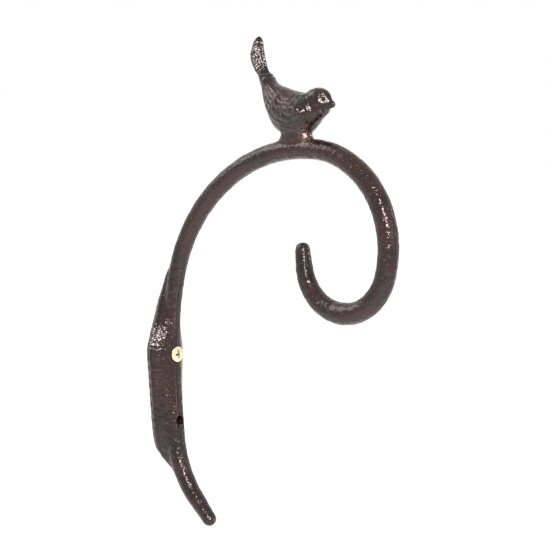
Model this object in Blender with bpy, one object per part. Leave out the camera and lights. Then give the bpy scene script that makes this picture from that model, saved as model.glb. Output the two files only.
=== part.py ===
"""Cast-iron plant hanging bracket with a perched bird, and its brass wood screw.

The wall is the plane x = 0. The bracket reaches out along +x, +z is up, and the
origin lies on the flat back, midway between the two screw holes. Everything is
symmetric about the plane y = 0, which is also where the casting mould parts.
"""

import math

import bmesh
import bpy
from mathutils import Vector

MM = 0.001

# Wall plate: a leaf with a flat back, a low rim and two flanks that rise to a narrow land
PLATE_WIDTH = 25.2 * MM
PLATE_WIDEST_HEIGHT = 19.0 * MM
PLATE_NECK_HEIGHT = 43.0 * MM
PLATE_NECK_WIDTH = 7.0 * MM
PLATE_HEEL_HEIGHT = -27.0 * MM
PLATE_HEEL_WIDTH = 15.6 * MM
PLATE_POINT_HEIGHT = -38.0 * MM
PLATE_SHOULDER_SOFTNESS = 1.4 * MM
PLATE_HEEL_SOFTNESS = 2.0 * MM
PLATE_TONGUE_WIDTH = 3.4 * MM
PLATE_TONGUE_SOFTNESS = 1.6 * MM
PLATE_TONGUE_BLEND = 4.0 * MM
PLATE_TOP = 56.5 * MM
PLATE_BOTTOM = -38.5 * MM
PLATE_TUCK = 2.5 * MM
PLATE_RIM = 2.0 * MM
PLATE_EDGE_ROUND = 0.9 * MM
PLATE_FLANK_BULGE = 0.7 * MM
PLATE_FLANK_STEPS = 8
PLATE_COVER = 0.15 * MM
PLATE_RING_PITCH = 3.1 * MM
TOP_LIFT_START = 38.0 * MM
TOP_LIFT_RADIUS = 40.0 * MM
HEEL_LIFT_START = -28.0 * MM
HEEL_LIFT_RADIUS = 12.0 * MM
LAND_WIDTH = 3.9 * MM
LAND_DEPTH = 0.25 * MM
LAND_ROOF = 0.2 * MM
LAND_FADE = 18.0 * MM
LAND_FADE_SHARE = 0.4

# Screw holes
HOLE_SPACING = 32.0 * MM
HOLE_DIAMETER = 4.8 * MM
SEAT_DIAMETER = 8.8 * MM
EMPTY_SEAT_DIAMETER = 6.4 * MM
COUNTERSINK_ANGLE = math.radians(90.0)
CUT_OVERRUN = 3.0 * MM

# Bar: it runs closest to the wall at BAR_REST, up into the crook and down into the tail
BAR_REST_HEIGHT = 24.0 * MM
BAR_REST_STANDOFF = 5.5 * MM
BAR_REST_DIAMETER = 7.7 * MM
BAR_OVERLAP = 5.0 * MM
BAR_SIDES = 20
BAR_CHORD = 6.0 * MM
BAR_TURN = math.radians(7.5)

# Each run is an arc: its radius, its sweep and the bar's diameter where it ends
SHOULDER_RADIUS = 134.0 * MM
SHOULDER_SWEEP = math.radians(12.4)
SHOULDER_DIAMETER = 8.1 * MM
RISE_RADIUS = 75.4 * MM
RISE_SWEEP = math.radians(27.2)
RISE_DIAMETER = 8.7 * MM
CROWN_RADIUS = 80.8 * MM
CROWN_SWEEP = math.radians(55.4)
CROWN_DIAMETER = 9.2 * MM
REACH_RADIUS = 43.7 * MM
REACH_SWEEP = math.radians(50.0)
REACH_DIAMETER = 9.8 * MM
FALL_RADIUS = 43.4 * MM
FALL_SWEEP = math.radians(53.1)
FALL_DIAMETER = 9.5 * MM
BOWL_RADIUS = 23.1 * MM
BOWL_SWEEP = math.radians(75.0)
BOWL_DIAMETER = 10.2 * MM
RETURN_RADIUS = 22.8 * MM
RETURN_SWEEP = math.radians(73.8)
RETURN_DIAMETER = 8.1 * MM
TIP_RADIUS = 54.4 * MM
TIP_SWEEP = math.radians(10.7)
TIP_DIAMETER = 6.9 * MM
HEEL_RADIUS = 528.0 * MM
HEEL_SWEEP = math.radians(5.0)
HEEL_DIAMETER = 9.2 * MM
TAIL_RADIUS = 50.5 * MM
TAIL_SWEEP = math.radians(38.0)
TAIL_DIAMETER = 8.0 * MM
TAIL_STRAIGHT = 12.2 * MM
TAIL_END_DIAMETER = 6.7 * MM
END_RINGS = 4

# Bird: perched on the crown, head away from the wall and tail cocked
BIRD_LENGTH = 44.0 * MM
BIRD_HEIGHT = 47.0 * MM
BIRD_WIDTH = 18.0 * MM
PERCH_REACH = 82.0 * MM
PERCH_SINK = 0.4 * MM
BODY_SIDES = 24
BODY_STEPS = 3
BODY_KEEL_SHARE = 0.22

# Back line, belly line and half width of the body from the tail's root to the throat,
# as shares of the bird's length, height and width from its perch
BODY_SHARES = (
    (-0.352, 0.640, -0.492, 0.620, 0.230),
    (-0.268, 0.545, -0.430, 0.475, 0.285),
    (-0.137, 0.500, -0.366, 0.281, 0.412),
    (-0.005, 0.464, -0.242, 0.099, 0.488),
    (0.100, 0.449, -0.010, 0.010, 0.495),
    (0.188, 0.446, 0.155, 0.052, 0.440),
    (0.284, 0.415, 0.286, 0.165, 0.345),
    (0.359, 0.361, 0.372, 0.236, 0.235),
)
THROAT_SHARE = (0.400, 0.294)

# Head, beak and eyes
HEAD_SHARE = (0.284, 0.371)
HEAD_LENGTH = 14.8 * MM
HEAD_WIDTH = 11.4 * MM
HEAD_HEIGHT = 11.5 * MM
HEAD_SEGMENTS = 24
HEAD_RINGS = 14
BEAK_LENGTH = 5.4 * MM
BEAK_WIDTH = 4.4 * MM
BEAK_DEPTH = 6.0 * MM
BEAK_TAPER_SHARES = ((0.0, 1.0), (0.45, 0.80), (0.8, 0.46))
BEAK_DROOP = math.radians(13.0)
BEAK_SINK = 3.0 * MM
EYE_DIAMETER = 1.8 * MM
EYE_AHEAD = 5.4 * MM
EYE_ABOVE = 0.8 * MM
EYE_APART = 6.6 * MM
EYE_SEGMENTS = 12
EYE_RINGS = 8

# Tail blade: its centre line as shares, then its width and thickness there
BLADE_SHARES = (
    (-0.330, 0.575),
    (-0.418, 0.632),
    (-0.473, 0.713),
    (-0.505, 0.815),
    (-0.507, 0.905),
)
BLADE_TIP_SHARE = (-0.499, 1.000)
BLADE_WIDTH_SHARES = (0.62, 0.86, 1.05, 1.10, 0.76)
BLADE_POINT_SHARES = ((0.35, 0.82), (0.65, 0.58), (0.88, 0.30))
BLADE_WIDTH = 8.0 * MM
BLADE_THICKNESS = 5.2 * MM
BLADE_RIDGE = 0.3 * MM
BLADE_GROOVE = 0.22 * MM
BLADE_FEATHERS = 3
BLADE_SIDES = 28
BLADE_STEPS = 3

# Wings: shingled layers that follow the flank, long feathers first and coverts over them.
# Each layer: where it starts and ends along the body, its relief and how far it is inset
# from the wing's upper and lower edge
WING_LAYER_SHARES = (
    (0.14, 0.650, 0.60, 0.00),
    (0.30, 0.685, 0.95, 0.04),
    (0.45, 0.720, 1.30, 0.08),
)
WING_FEATHERS = (5, 5, 3)
WING_TOP_ANGLE = math.radians(38.0)
WING_SPAN_ANGLE = math.radians(76.0)
WING_TIP_SHARE = 0.24
WING_RELIEF = 0.8 * MM
WING_FEATHER_DEPTH = 0.3 * MM
WING_TUCK = 0.4 * MM
WING_SINK = 1.4 * MM
WING_ROWS = 12
WING_COLUMNS = 15

# Saddle: the blend between the bird's belly and the bar
SADDLE_LENGTH = 16.4 * MM
SADDLE_FOOT_WIDTH = 8.4 * MM
SADDLE_NECK_WIDTH = 9.8 * MM
SADDLE_FILLET = 4.8 * MM
SADDLE_SINK = 0.35 * MM
SADDLE_FOOT_DEPTH = 2.8 * MM
SADDLE_RISE = 3.6 * MM
SADDLE_TOP_HEIGHT = 7.4 * MM
SADDLE_TOP_LENGTH = 17.0 * MM
SADDLE_TOP_WIDTH = 13.0 * MM
SADDLE_SIDES = 24
SADDLE_RINGS = 7

# Brass wood screw in the upper hole
SCREW_LENGTH = 19.0 * MM
SCREW_HEAD_DIAMETER = 7.6 * MM
SCREW_HEAD_EDGE = 0.35 * MM
SCREW_HEAD_DOME = 0.55 * MM
SCREW_SHANK_DIAMETER = 3.5 * MM
SCREW_POINT_LENGTH = 4.2 * MM
SCREW_POINT_DIAMETER = 0.5 * MM
SCREW_SEAT_GAP = 0.3 * MM
SCREW_SIDES = 32
SCREW_DOME_RINGS = 4
CROSS_LENGTH = 4.2 * MM
CROSS_WIDTH = 0.9 * MM
CROSS_DEPTH = 1.5 * MM
CROSS_BOTTOM_SHARE = 0.45
CROSS_TURN = math.radians(9.0)

WELD_DISTANCE = 0.001 * MM
SHARP_ANGLE = math.radians(38.0)

IRON_COLOUR = (0.055, 0.047, 0.045, 1.0)
IRON_ROUGHNESS = 0.42
IRON_METALLIC = 0.55
BRASS_COLOUR = (0.86, 0.68, 0.30, 1.0)
BRASS_ROUGHNESS = 0.22
BRASS_METALLIC = 1.0


def clear_scene():
    """Remove whatever the scene holds."""
    for item in list(bpy.data.objects):
        bpy.data.objects.remove(item, do_unlink=True)


def mix(first, second, share):
    """Value a share of the way from first to second."""
    return first + (second - first) * share


def make_object(name, bm):
    """New object from a bmesh with its faces turned outwards."""
    bmesh.ops.remove_doubles(bm, verts=bm.verts, dist=WELD_DISTANCE)
    bmesh.ops.recalc_face_normals(bm, faces=bm.faces)
    mesh = bpy.data.meshes.new(name)
    bm.to_mesh(mesh)
    bm.free()
    item = bpy.data.objects.new(name, mesh)
    bpy.context.scene.collection.objects.link(item)
    return item


def loft(name, rings, first_pole=None, last_pole=None):
    """Closed skin over rings of equally many points, ended by poles or flat caps."""
    bm = bmesh.new()
    rows = [[bm.verts.new(point) for point in ring] for ring in rings]
    count = len(rows[0])
    for lower, upper in zip(rows, rows[1:]):
        for i in range(count):
            j = (i + 1) % count
            bm.faces.new((lower[i], lower[j], upper[j], upper[i]))
    for row, pole in ((rows[0], first_pole), (rows[-1], last_pole)):
        if pole is None:
            bm.faces.new(row)
            continue
        tip = bm.verts.new(pole)
        for i in range(count):
            bm.faces.new((row[i], row[(i + 1) % count], tip))
    return make_object(name, bm)


def combine(target, tools, operation):
    """Join the tools to the target, or cut them from it, and remove them."""
    for tool in tools:
        modifier = target.modifiers.new(tool.name, "BOOLEAN")
        modifier.operation = operation
        modifier.solver = "EXACT"
        modifier.object = tool
        modifier.use_self = False
        tool.hide_render = True
        tool.display_type = "WIRE"
    graph = bpy.context.evaluated_depsgraph_get()
    mesh = bpy.data.meshes.new_from_object(target.evaluated_get(graph))
    target.modifiers.clear()
    target.data = mesh
    for tool in tools:
        bpy.data.objects.remove(tool, do_unlink=True)
    return target


# Bar


UPPER_RUNS = (
    (SHOULDER_RADIUS, SHOULDER_SWEEP, SHOULDER_DIAMETER),
    (RISE_RADIUS, RISE_SWEEP, RISE_DIAMETER),
    (CROWN_RADIUS, CROWN_SWEEP, CROWN_DIAMETER),
    (REACH_RADIUS, REACH_SWEEP, REACH_DIAMETER),
    (FALL_RADIUS, FALL_SWEEP, FALL_DIAMETER),
    (BOWL_RADIUS, BOWL_SWEEP, BOWL_DIAMETER),
    (RETURN_RADIUS, RETURN_SWEEP, RETURN_DIAMETER),
    (TIP_RADIUS, TIP_SWEEP, TIP_DIAMETER),
)
LOWER_RUNS = (
    (HEEL_RADIUS, HEEL_SWEEP, HEEL_DIAMETER),
    (TAIL_RADIUS, TAIL_SWEEP, TAIL_DIAMETER),
)


def trace(runs, upwards):
    """Stations of the bar's centre line from its rest, as (x, z, heading, diameter).

    The heading is measured from +z towards +x, as the bar runs from its tail to its tip.
    """
    sense = 1 if upwards else -1
    x, z = BAR_REST_STANDOFF, BAR_REST_HEIGHT
    turned, diameter = 0.0, BAR_REST_DIAMETER
    stations = [(x, z, turned, diameter)]
    for radius, sweep, end_diameter in runs:
        steps = max(math.ceil(sweep / BAR_TURN), math.ceil(radius * sweep / BAR_CHORD))
        centre_x = x + radius * math.cos(turned)
        centre_z = z - sense * radius * math.sin(turned)
        for k in range(1, steps + 1):
            angle = turned + sweep * k / steps
            stations.append((
                centre_x - radius * math.cos(angle),
                centre_z + sense * radius * math.sin(angle),
                sense * angle,
                mix(diameter, end_diameter, k / steps),
            ))
        x, z = stations[-1][:2]
        turned, diameter = turned + sweep, end_diameter
    return stations


def arm_stations():
    """Stations from inside the plate's top, over the crown, to the crook's tip."""
    stations = trace(UPPER_RUNS, upwards=True)
    while stations[0][1] < PLATE_TOP - BAR_OVERLAP:
        stations.pop(0)
    return stations


def tail_stations():
    """Stations from the tail's end to inside the plate's lower end."""
    stations = trace(LOWER_RUNS, upwards=False)
    x, z, heading, diameter = stations[-1]
    steps = math.ceil(TAIL_STRAIGHT / BAR_CHORD)
    for k in range(1, steps + 1):
        run = TAIL_STRAIGHT * k / steps
        stations.append((
            x - run * math.sin(heading),
            z - run * math.cos(heading),
            heading,
            mix(diameter, TAIL_END_DIAMETER, k / steps),
        ))
    return [station for station in stations[::-1] if station[1] < PLATE_BOTTOM + BAR_OVERLAP]


def bar_ring(x, z, heading, diameter):
    """Round section of the bar, square to its heading."""
    across = Vector((math.cos(heading), 0.0, -math.sin(heading)))
    sideways = Vector((0.0, 1.0, 0.0))
    radius = diameter / 2
    ring = []
    for k in range(BAR_SIDES):
        angle = math.tau * k / BAR_SIDES
        offset = across * math.cos(angle) + sideways * math.sin(angle)
        ring.append(Vector((x, 0.0, z)) + offset * radius)
    return ring


def rounded_end(station, sense):
    """Rings and pole of the round end beyond a station."""
    x, z, heading, diameter = station
    ahead = Vector((math.sin(heading), 0.0, math.cos(heading))) * sense
    rings = []
    for k in range(1, END_RINGS):
        angle = math.pi / 2 * k / END_RINGS
        shift = ahead * (diameter / 2 * math.sin(angle))
        rings.append(bar_ring(x + shift.x, z + shift.z, heading, diameter * math.cos(angle)))
    pole = Vector((x, 0.0, z)) + ahead * (diameter / 2)
    return rings, pole


def make_arm():
    """Round bar of the arm and the crook, with a rounded tip."""
    stations = arm_stations()
    end_rings, pole = rounded_end(stations[-1], 1)
    return loft("arm", [bar_ring(*station) for station in stations] + end_rings, None, pole)


def make_tail():
    """Round bar of the tail, with a rounded end."""
    stations = tail_stations()
    end_rings, pole = rounded_end(stations[0], -1)
    return loft("tail", end_rings[::-1] + [bar_ring(*station) for station in stations], pole, None)


def crown_top(reach):
    """Height of the arm's upper side at a reach from the wall, on its way out."""
    stations = arm_stations()
    for (x, z, heading, diameter), (next_x, next_z, _, next_diameter) in zip(stations, stations[1:]):
        if x <= reach <= next_x:
            share = (reach - x) / (next_x - x)
            return mix(z, next_z, share) + mix(diameter, next_diameter, share) / 2 / math.sin(heading)
    return max(z + diameter / 2 for x, z, heading, diameter in stations)


PERCH_HEIGHT = crown_top(PERCH_REACH) - PERCH_SINK


def bar_core(height):
    """Centre, radius and lean of the bar where it passes a height on the plate."""
    left = abs(height - BAR_REST_HEIGHT)
    centre, turned, diameter = BAR_REST_STANDOFF, 0.0, BAR_REST_DIAMETER
    for radius, sweep, end_diameter in UPPER_RUNS if height >= BAR_REST_HEIGHT else LOWER_RUNS:
        rise = radius * (math.sin(turned + sweep) - math.sin(turned))
        if left > rise:
            centre += radius * (math.cos(turned) - math.cos(turned + sweep))
            left -= rise
            turned, diameter = turned + sweep, end_diameter
            continue
        lean = math.asin(math.sin(turned) + left / radius)
        centre += radius * (math.cos(turned) - math.cos(lean))
        diameter = mix(diameter, end_diameter, (lean - turned) / sweep)
        return centre, diameter / 2, lean
    return centre, diameter / 2, turned


# Wall plate


def soft_least(first, second, softness):
    """Lesser of two lengths, with a rounded change from one to the other."""
    return (first + second - math.hypot(first - second, softness)) / 2


def soft_most(first, second, softness):
    """Greater of two lengths, with a rounded change from one to the other."""
    return (first + second + math.hypot(first - second, softness)) / 2


def plate_half_width(height):
    """Half width of the leaf: three straight edges with soft corners, and a tongue at each end."""
    widest = PLATE_WIDTH / 2
    neck = PLATE_NECK_WIDTH / 2
    heel = PLATE_HEEL_WIDTH / 2
    upper_share = (height - PLATE_WIDEST_HEIGHT) / (PLATE_NECK_HEIGHT - PLATE_WIDEST_HEIGHT)
    lower_share = (height - PLATE_WIDEST_HEIGHT) / (PLATE_HEEL_HEIGHT - PLATE_WIDEST_HEIGHT)
    point_share = (height - PLATE_HEEL_HEIGHT) / (PLATE_POINT_HEIGHT - PLATE_HEEL_HEIGHT)
    upper = mix(widest, neck, upper_share)
    lower = mix(widest, heel, lower_share)
    point = mix(heel, 0.0, point_share)
    width = soft_least(upper, lower, PLATE_SHOULDER_SOFTNESS)
    width = soft_least(width, point, PLATE_HEEL_SOFTNESS)
    return soft_most(width, PLATE_TONGUE_WIDTH / 2, PLATE_TONGUE_SOFTNESS)


def plate_back(height):
    """Distance from the wall to the back, which curls away at both ends."""
    back = 0.0
    for radius, rise in (
        (TOP_LIFT_RADIUS, height - TOP_LIFT_START),
        (HEEL_LIFT_RADIUS, HEEL_LIFT_START - height),
    ):
        if rise > 0:
            back += radius - math.sqrt(radius ** 2 - rise ** 2)
    return back


def land_fade(height):
    """Share of the land's full size that is left as it fades into the tail."""
    return min((height - PLATE_BOTTOM) / LAND_FADE, 1.0)


def land_front(height):
    """Distance from the wall to the land's edges."""
    centre, radius, lean = bar_core(height)
    return centre + radius / math.cos(lean) - LAND_DEPTH * land_fade(height)


def keep_outside(point, core):
    """Move a section point out to the bar's cover if it lies within it."""
    centre, radius, lean = core
    out, side = point[0] - centre, point[1]
    distance = math.hypot(out * math.cos(lean), side)
    needed = radius + PLATE_COVER
    if distance >= needed:
        return point
    return centre + out * needed / distance, side * needed / distance


def flank_points(start, end, core):
    """Points from the rim's shoulder to the land's edge, evenly turned about the bar."""
    centre = core[0]
    first = math.atan2(start[1], start[0] - centre)
    last = math.atan2(end[1], end[0] - centre)
    points = []
    for k in range(PLATE_FLANK_STEPS + 1):
        angle = mix(first, last, k / PLATE_FLANK_STEPS)
        out, side = math.cos(angle), math.sin(angle)
        run_out, run_side = end[0] - start[0], end[1] - start[1]
        share = ((start[0] - centre) * side - start[1] * out) / (run_side * out - run_out * side)
        bulge = PLATE_FLANK_BULGE * math.sin(math.pi * share)
        points.append((mix(start[0], end[0], share) + bulge, mix(start[1], end[1], share)))
    return points


def plate_section(height):
    """Half section of the leaf as (out, sideways) pairs from the back to the land."""
    core = bar_core(height)
    half = plate_half_width(height)
    back = plate_back(height)
    front = land_front(height)
    land = LAND_WIDTH / 2 * mix(LAND_FADE_SHARE, 1.0, land_fade(height))
    edge = min(PLATE_EDGE_ROUND, half / 2)
    wide = min((half - PLATE_TONGUE_WIDTH / 2) / PLATE_TONGUE_BLEND, 1.0)
    rim = back + PLATE_RIM
    diagonal = edge * (1 - math.sqrt(0.5))
    pairs = [
        (back, 0.0),
        (back, (half - edge) / 2),
        (back, half - edge),
        (back + diagonal, half - diagonal),
        (back + edge, half),
        (rim - edge / 2, half),
        (rim, half - wide * edge / 4),
    ]
    pairs += flank_points((rim + edge / 2, half - wide * edge), (front, land), core)
    pairs = [keep_outside(pair, core) for pair in pairs]
    pairs.append((front + LAND_ROOF, 0.0))
    return pairs


def tucked_section(end, height):
    """Half section just under the bar's skin, a little beyond one end of the leaf."""
    end_centre = bar_core(end)[0]
    centre, radius, lean = bar_core(height)
    reach = radius - PLATE_COVER
    pairs = []
    for out, side in plate_section(end):
        out -= end_centre
        distance = math.hypot(out * math.cos(lean), side)
        pairs.append((centre + out * reach / distance, side * reach / distance))
    return pairs


def make_plate():
    """Leaf-shaped wall plate with its flat back on the wall."""
    steps = math.ceil((PLATE_TOP - PLATE_BOTTOM) / PLATE_RING_PITCH)
    heights = [mix(PLATE_BOTTOM, PLATE_TOP, k / steps) for k in range(steps + 1)]
    sections = [(height, plate_section(height)) for height in heights]
    for end, step in ((PLATE_BOTTOM, -PLATE_TUCK), (PLATE_TOP, PLATE_TUCK)):
        sections.append((end + step, tucked_section(end, end + step)))
    rings = []
    for height, half in sorted(sections):
        right = [Vector((out, side, height)) for out, side in half]
        left = [Vector((out, -side, height)) for out, side in half[-2:0:-1]]
        rings.append(right + left)
    return loft("plate", rings)


def screw_hole(height, seat_diameter):
    """Cutter for one countersunk hole: a bore that opens into a cone at the land."""
    bore = HOLE_DIAMETER / 2
    mouth = seat_diameter / 2
    depth = (mouth - bore) / math.tan(COUNTERSINK_ANGLE / 2)
    land = land_front(height)
    outer = mouth + CUT_OVERRUN * math.tan(COUNTERSINK_ANGLE / 2)
    profile = (
        (-CUT_OVERRUN, bore),
        (land - depth, bore),
        (land + CUT_OVERRUN, outer),
    )
    rings = []
    for out, radius in profile:
        rings.append([
            Vector((out, radius * math.cos(math.tau * k / SCREW_SIDES),
                    height + radius * math.sin(math.tau * k / SCREW_SIDES)))
            for k in range(SCREW_SIDES)
        ])
    return loft("hole", rings)


# Bird


def perch_point(along, above, sideways=0.0):
    """Point of the bird from shares of its length and height and a distance sideways."""
    return Vector((
        PERCH_REACH + along * BIRD_LENGTH,
        sideways,
        PERCH_HEIGHT + above * BIRD_HEIGHT,
    ))


def curve_value(rows, position):
    """Smooth value through the rows at a position from 0 to 1, for each column."""
    last = len(rows) - 1
    place = min(max(position, 0.0), 1.0) * last
    k = min(int(place), last - 1)
    t = place - k
    before, start = rows[max(k - 1, 0)], rows[k]
    end, after = rows[k + 1], rows[min(k + 2, last)]
    values = []
    for p, q, r, s in zip(before, start, end, after):
        slope_in, slope_out = (r - p) / 2, (s - q) / 2
        values.append(
            q * (2 * t ** 3 - 3 * t ** 2 + 1)
            + slope_in * (t ** 3 - 2 * t ** 2 + t)
            + r * (3 * t ** 2 - 2 * t ** 3)
            + slope_out * (t ** 3 - t ** 2)
        )
    return values


def body_point(position, angle, lift=0.0):
    """Point on the body's skin; the angle runs from the back line over the flank to the belly."""
    back_x, back_z, belly_x, belly_z, width = curve_value(BODY_SHARES, position)
    back = perch_point(back_x, back_z)
    belly = perch_point(belly_x, belly_z)
    centre = (back + belly) / 2
    upwards = (back - belly) / 2
    keel = 1 - BODY_KEEL_SHARE * (1 - math.cos(angle)) / 2
    half_width = width * BIRD_WIDTH * keel
    sideways = Vector((0.0, 1.0, 0.0))
    point = centre + upwards * math.cos(angle) + sideways * (half_width * math.sin(angle))
    outward = upwards * (math.cos(angle) / upwards.length_squared)
    outward = outward + sideways * (math.sin(angle) / half_width)
    return point + outward.normalized() * lift


def make_body():
    """Lofted body from the tail's root to the throat."""
    steps = (len(BODY_SHARES) - 1) * BODY_STEPS
    rings = []
    for k in range(steps + 1):
        rings.append([
            body_point(k / steps, math.tau * i / BODY_SIDES) for i in range(BODY_SIDES)
        ])
    return loft("body", rings, None, perch_point(*THROAT_SHARE))


def ellipsoid(name, centre, size, segments, ring_count):
    """Closed ellipsoid of revolution-like rings around its length."""
    bm = bmesh.new()
    bmesh.ops.create_uvsphere(bm, u_segments=segments, v_segments=ring_count, radius=1.0)
    for vert in bm.verts:
        vert.co = Vector(centre) + Vector((
            vert.co.x * size[0] / 2,
            vert.co.y * size[1] / 2,
            vert.co.z * size[2] / 2,
        ))
    return make_object(name, bm)


def make_head():
    """Round head."""
    size = (HEAD_LENGTH, HEAD_WIDTH, HEAD_HEIGHT)
    return ellipsoid("head", perch_point(*HEAD_SHARE), size, HEAD_SEGMENTS, HEAD_RINGS)


def make_beak():
    """Short pointed beak that leaves the head with a slight droop."""
    ahead = Vector((math.cos(BEAK_DROOP), 0.0, -math.sin(BEAK_DROOP)))
    upwards = Vector((math.sin(BEAK_DROOP), 0.0, math.cos(BEAK_DROOP)))
    sideways = Vector((0.0, 1.0, 0.0))
    root = perch_point(*HEAD_SHARE) + ahead * (HEAD_LENGTH / 2 - BEAK_SINK)
    rings = []
    for along, size in BEAK_TAPER_SHARES:
        ring = []
        for k in range(BODY_SIDES // 2):
            angle = math.tau * k / (BODY_SIDES // 2)
            offset = sideways * (BEAK_WIDTH / 2 * math.cos(angle))
            offset = offset + upwards * (BEAK_DEPTH / 2 * math.sin(angle))
            ring.append(root + ahead * (BEAK_LENGTH * along) + offset * size)
        rings.append(ring)
    return loft("beak", rings, None, root + ahead * BEAK_LENGTH)


def make_eyes():
    """Two small domes on the sides of the head."""
    eyes = []
    for side in (-1, 1):
        centre = perch_point(*HEAD_SHARE) + Vector((EYE_AHEAD, side * EYE_APART / 2, EYE_ABOVE))
        size = (EYE_DIAMETER, EYE_DIAMETER, EYE_DIAMETER)
        eyes.append(ellipsoid("eye", centre, size, EYE_SEGMENTS, EYE_RINGS))
    return eyes


def blade_ring(position):
    """Section of the tail blade: a low roof with feather grooves, on a flat underside."""
    rows = [place + (width,) for place, width in zip(BLADE_SHARES, BLADE_WIDTH_SHARES)]
    along, above, width = curve_value(rows, position)
    nudge = 0.01
    near = Vector(curve_value(rows, position - nudge)[:2])
    far = Vector(curve_value(rows, position + nudge)[:2])
    ahead = perch_point(*far) - perch_point(*near)
    front = Vector((ahead.z, 0.0, -ahead.x)).normalized()
    sideways = Vector((0.0, 1.0, 0.0))
    centre = perch_point(along, above)
    ring = []
    for k in range(BLADE_SIDES):
        angle = math.tau * k / BLADE_SIDES
        side = math.cos(angle)
        level = width * BLADE_THICKNESS / 2 * math.sin(angle)
        if level > 0:
            roof = BLADE_RIDGE * (1 - abs(side))
            groove = BLADE_GROOVE * math.cos(math.tau * BLADE_FEATHERS * abs(side))
            level += (roof + groove) * math.sin(angle)
        ring.append(centre + sideways * (width * BLADE_WIDTH / 2 * side) + front * level)
    return ring


def make_blade():
    """Cocked tail."""
    steps = (len(BLADE_SHARES) - 1) * BLADE_STEPS
    rings = [blade_ring(k / steps) for k in range(steps + 1)]
    tip = perch_point(*BLADE_TIP_SHARE)
    end_ring = rings[-1]
    middle = sum(end_ring, Vector()) / len(end_ring)
    for share, size in BLADE_POINT_SHARES:
        centre = middle.lerp(tip, share)
        rings.append([centre + (point - middle) * size for point in end_ring])
    return loft("blade", rings, None, tip)


def wing_point(layer, feathers, along, across, side, sunk):
    """Point of a wing layer; along runs from its tip to its front and across down the flank.

    Its borders dive under the bird's skin, so that the layer grows out of the flank.
    """
    start, end, relief, inset = layer
    fullness = math.sin(math.pi / 2 * min(along / WING_TIP_SHARE, 1.0))
    nose = math.sqrt(1 - max(2 * along - 1, 0.0) ** 4 * (1 - WING_TIP_SHARE))
    span = WING_SPAN_ANGLE * mix(WING_TIP_SHARE, 1.0, fullness) * nose
    drop = (WING_SPAN_ANGLE - span) * mix(WING_TIP_SHARE, 1.0, along) / 2
    angle = WING_TOP_ANGLE + drop + span * mix(inset, 1.0 - inset, across)
    position = mix(start, end, along)
    if sunk:
        return body_point(position, side * angle, -WING_SINK)
    brow = max(math.sin(math.pi * across), 0.0) ** 0.4
    fall = min(1.0, (1 - along) / WING_TIP_SHARE) ** 0.5
    groove = 1 - abs(math.sin(math.pi * feathers * across))
    crest = WING_RELIEF * relief - WING_FEATHER_DEPTH * groove
    return body_point(position, side * angle, mix(-WING_TUCK, crest, brow * fall))


def make_wing_layer(layer, feathers, side):
    """One closed layer of a wing, sunk in the flank."""
    bm = bmesh.new()
    grids = []
    for sunk in (False, True):
        grids.append([
            [
                bm.verts.new(wing_point(
                    layer, feathers, row / WING_ROWS, column / WING_COLUMNS, side, sunk,
                ))
                for column in range(WING_COLUMNS + 1)
            ]
            for row in range(WING_ROWS + 1)
        ])
    outer, inner = grids
    for grid in grids:
        for row in range(WING_ROWS):
            for column in range(WING_COLUMNS):
                bm.faces.new((
                    grid[row][column], grid[row][column + 1],
                    grid[row + 1][column + 1], grid[row + 1][column],
                ))
    border = [(row, 0) for row in range(WING_ROWS)]
    border += [(WING_ROWS, column) for column in range(WING_COLUMNS)]
    border += [(row, WING_COLUMNS) for row in range(WING_ROWS, 0, -1)]
    border += [(0, column) for column in range(WING_COLUMNS, 0, -1)]
    for (row, column), (next_row, next_column) in zip(border, border[1:] + border[:1]):
        bm.faces.new((
            outer[row][column], outer[next_row][next_column],
            inner[next_row][next_column], inner[row][column],
        ))
    return make_object("wing", bm)


def make_wings():
    """Both wings, each of shingled layers."""
    return [
        make_wing_layer(layer, feathers, side)
        for side in (-1, 1)
        for layer, feathers in zip(WING_LAYER_SHARES, WING_FEATHERS)
    ]


def make_saddle():
    """Flared neck that follows the crown and blends the belly into the bar."""
    foot_length = SADDLE_LENGTH + 2 * SADDLE_FILLET
    sizes = [(-SADDLE_FOOT_DEPTH, foot_length, SADDLE_FOOT_WIDTH)]
    for k in range(SADDLE_RINGS + 1):
        angle = math.pi / 2 * k / SADDLE_RINGS
        sizes.append((
            SADDLE_RISE * (1 - math.cos(angle)) - SADDLE_SINK,
            mix(foot_length, SADDLE_LENGTH, math.sin(angle)),
            mix(SADDLE_FOOT_WIDTH, SADDLE_NECK_WIDTH, k / SADDLE_RINGS),
        ))
    sizes.append((SADDLE_TOP_HEIGHT, SADDLE_TOP_LENGTH, SADDLE_TOP_WIDTH))
    rings = []
    for rise, length, width in sizes:
        ring = []
        for k in range(SADDLE_SIDES):
            angle = math.tau * k / SADDLE_SIDES
            out = length / 2 * math.cos(angle)
            drop = CROWN_RADIUS - math.sqrt(CROWN_RADIUS ** 2 - out ** 2)
            ring.append(Vector((
                PERCH_REACH + out,
                width / 2 * math.sin(angle),
                PERCH_HEIGHT + rise - drop,
            )))
        rings.append(ring)
    return loft("saddle", rings)


# Screw


def screw_seat():
    """Distance from the wall to the screw head's underside edge, resting in its countersink."""
    land = land_front(HOLE_SPACING / 2)
    overhang = (SCREW_HEAD_DIAMETER - SEAT_DIAMETER) / 2
    slope = math.tan(COUNTERSINK_ANGLE / 2)
    return land + overhang / slope + SCREW_SEAT_GAP / math.sin(COUNTERSINK_ANGLE / 2)


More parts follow.
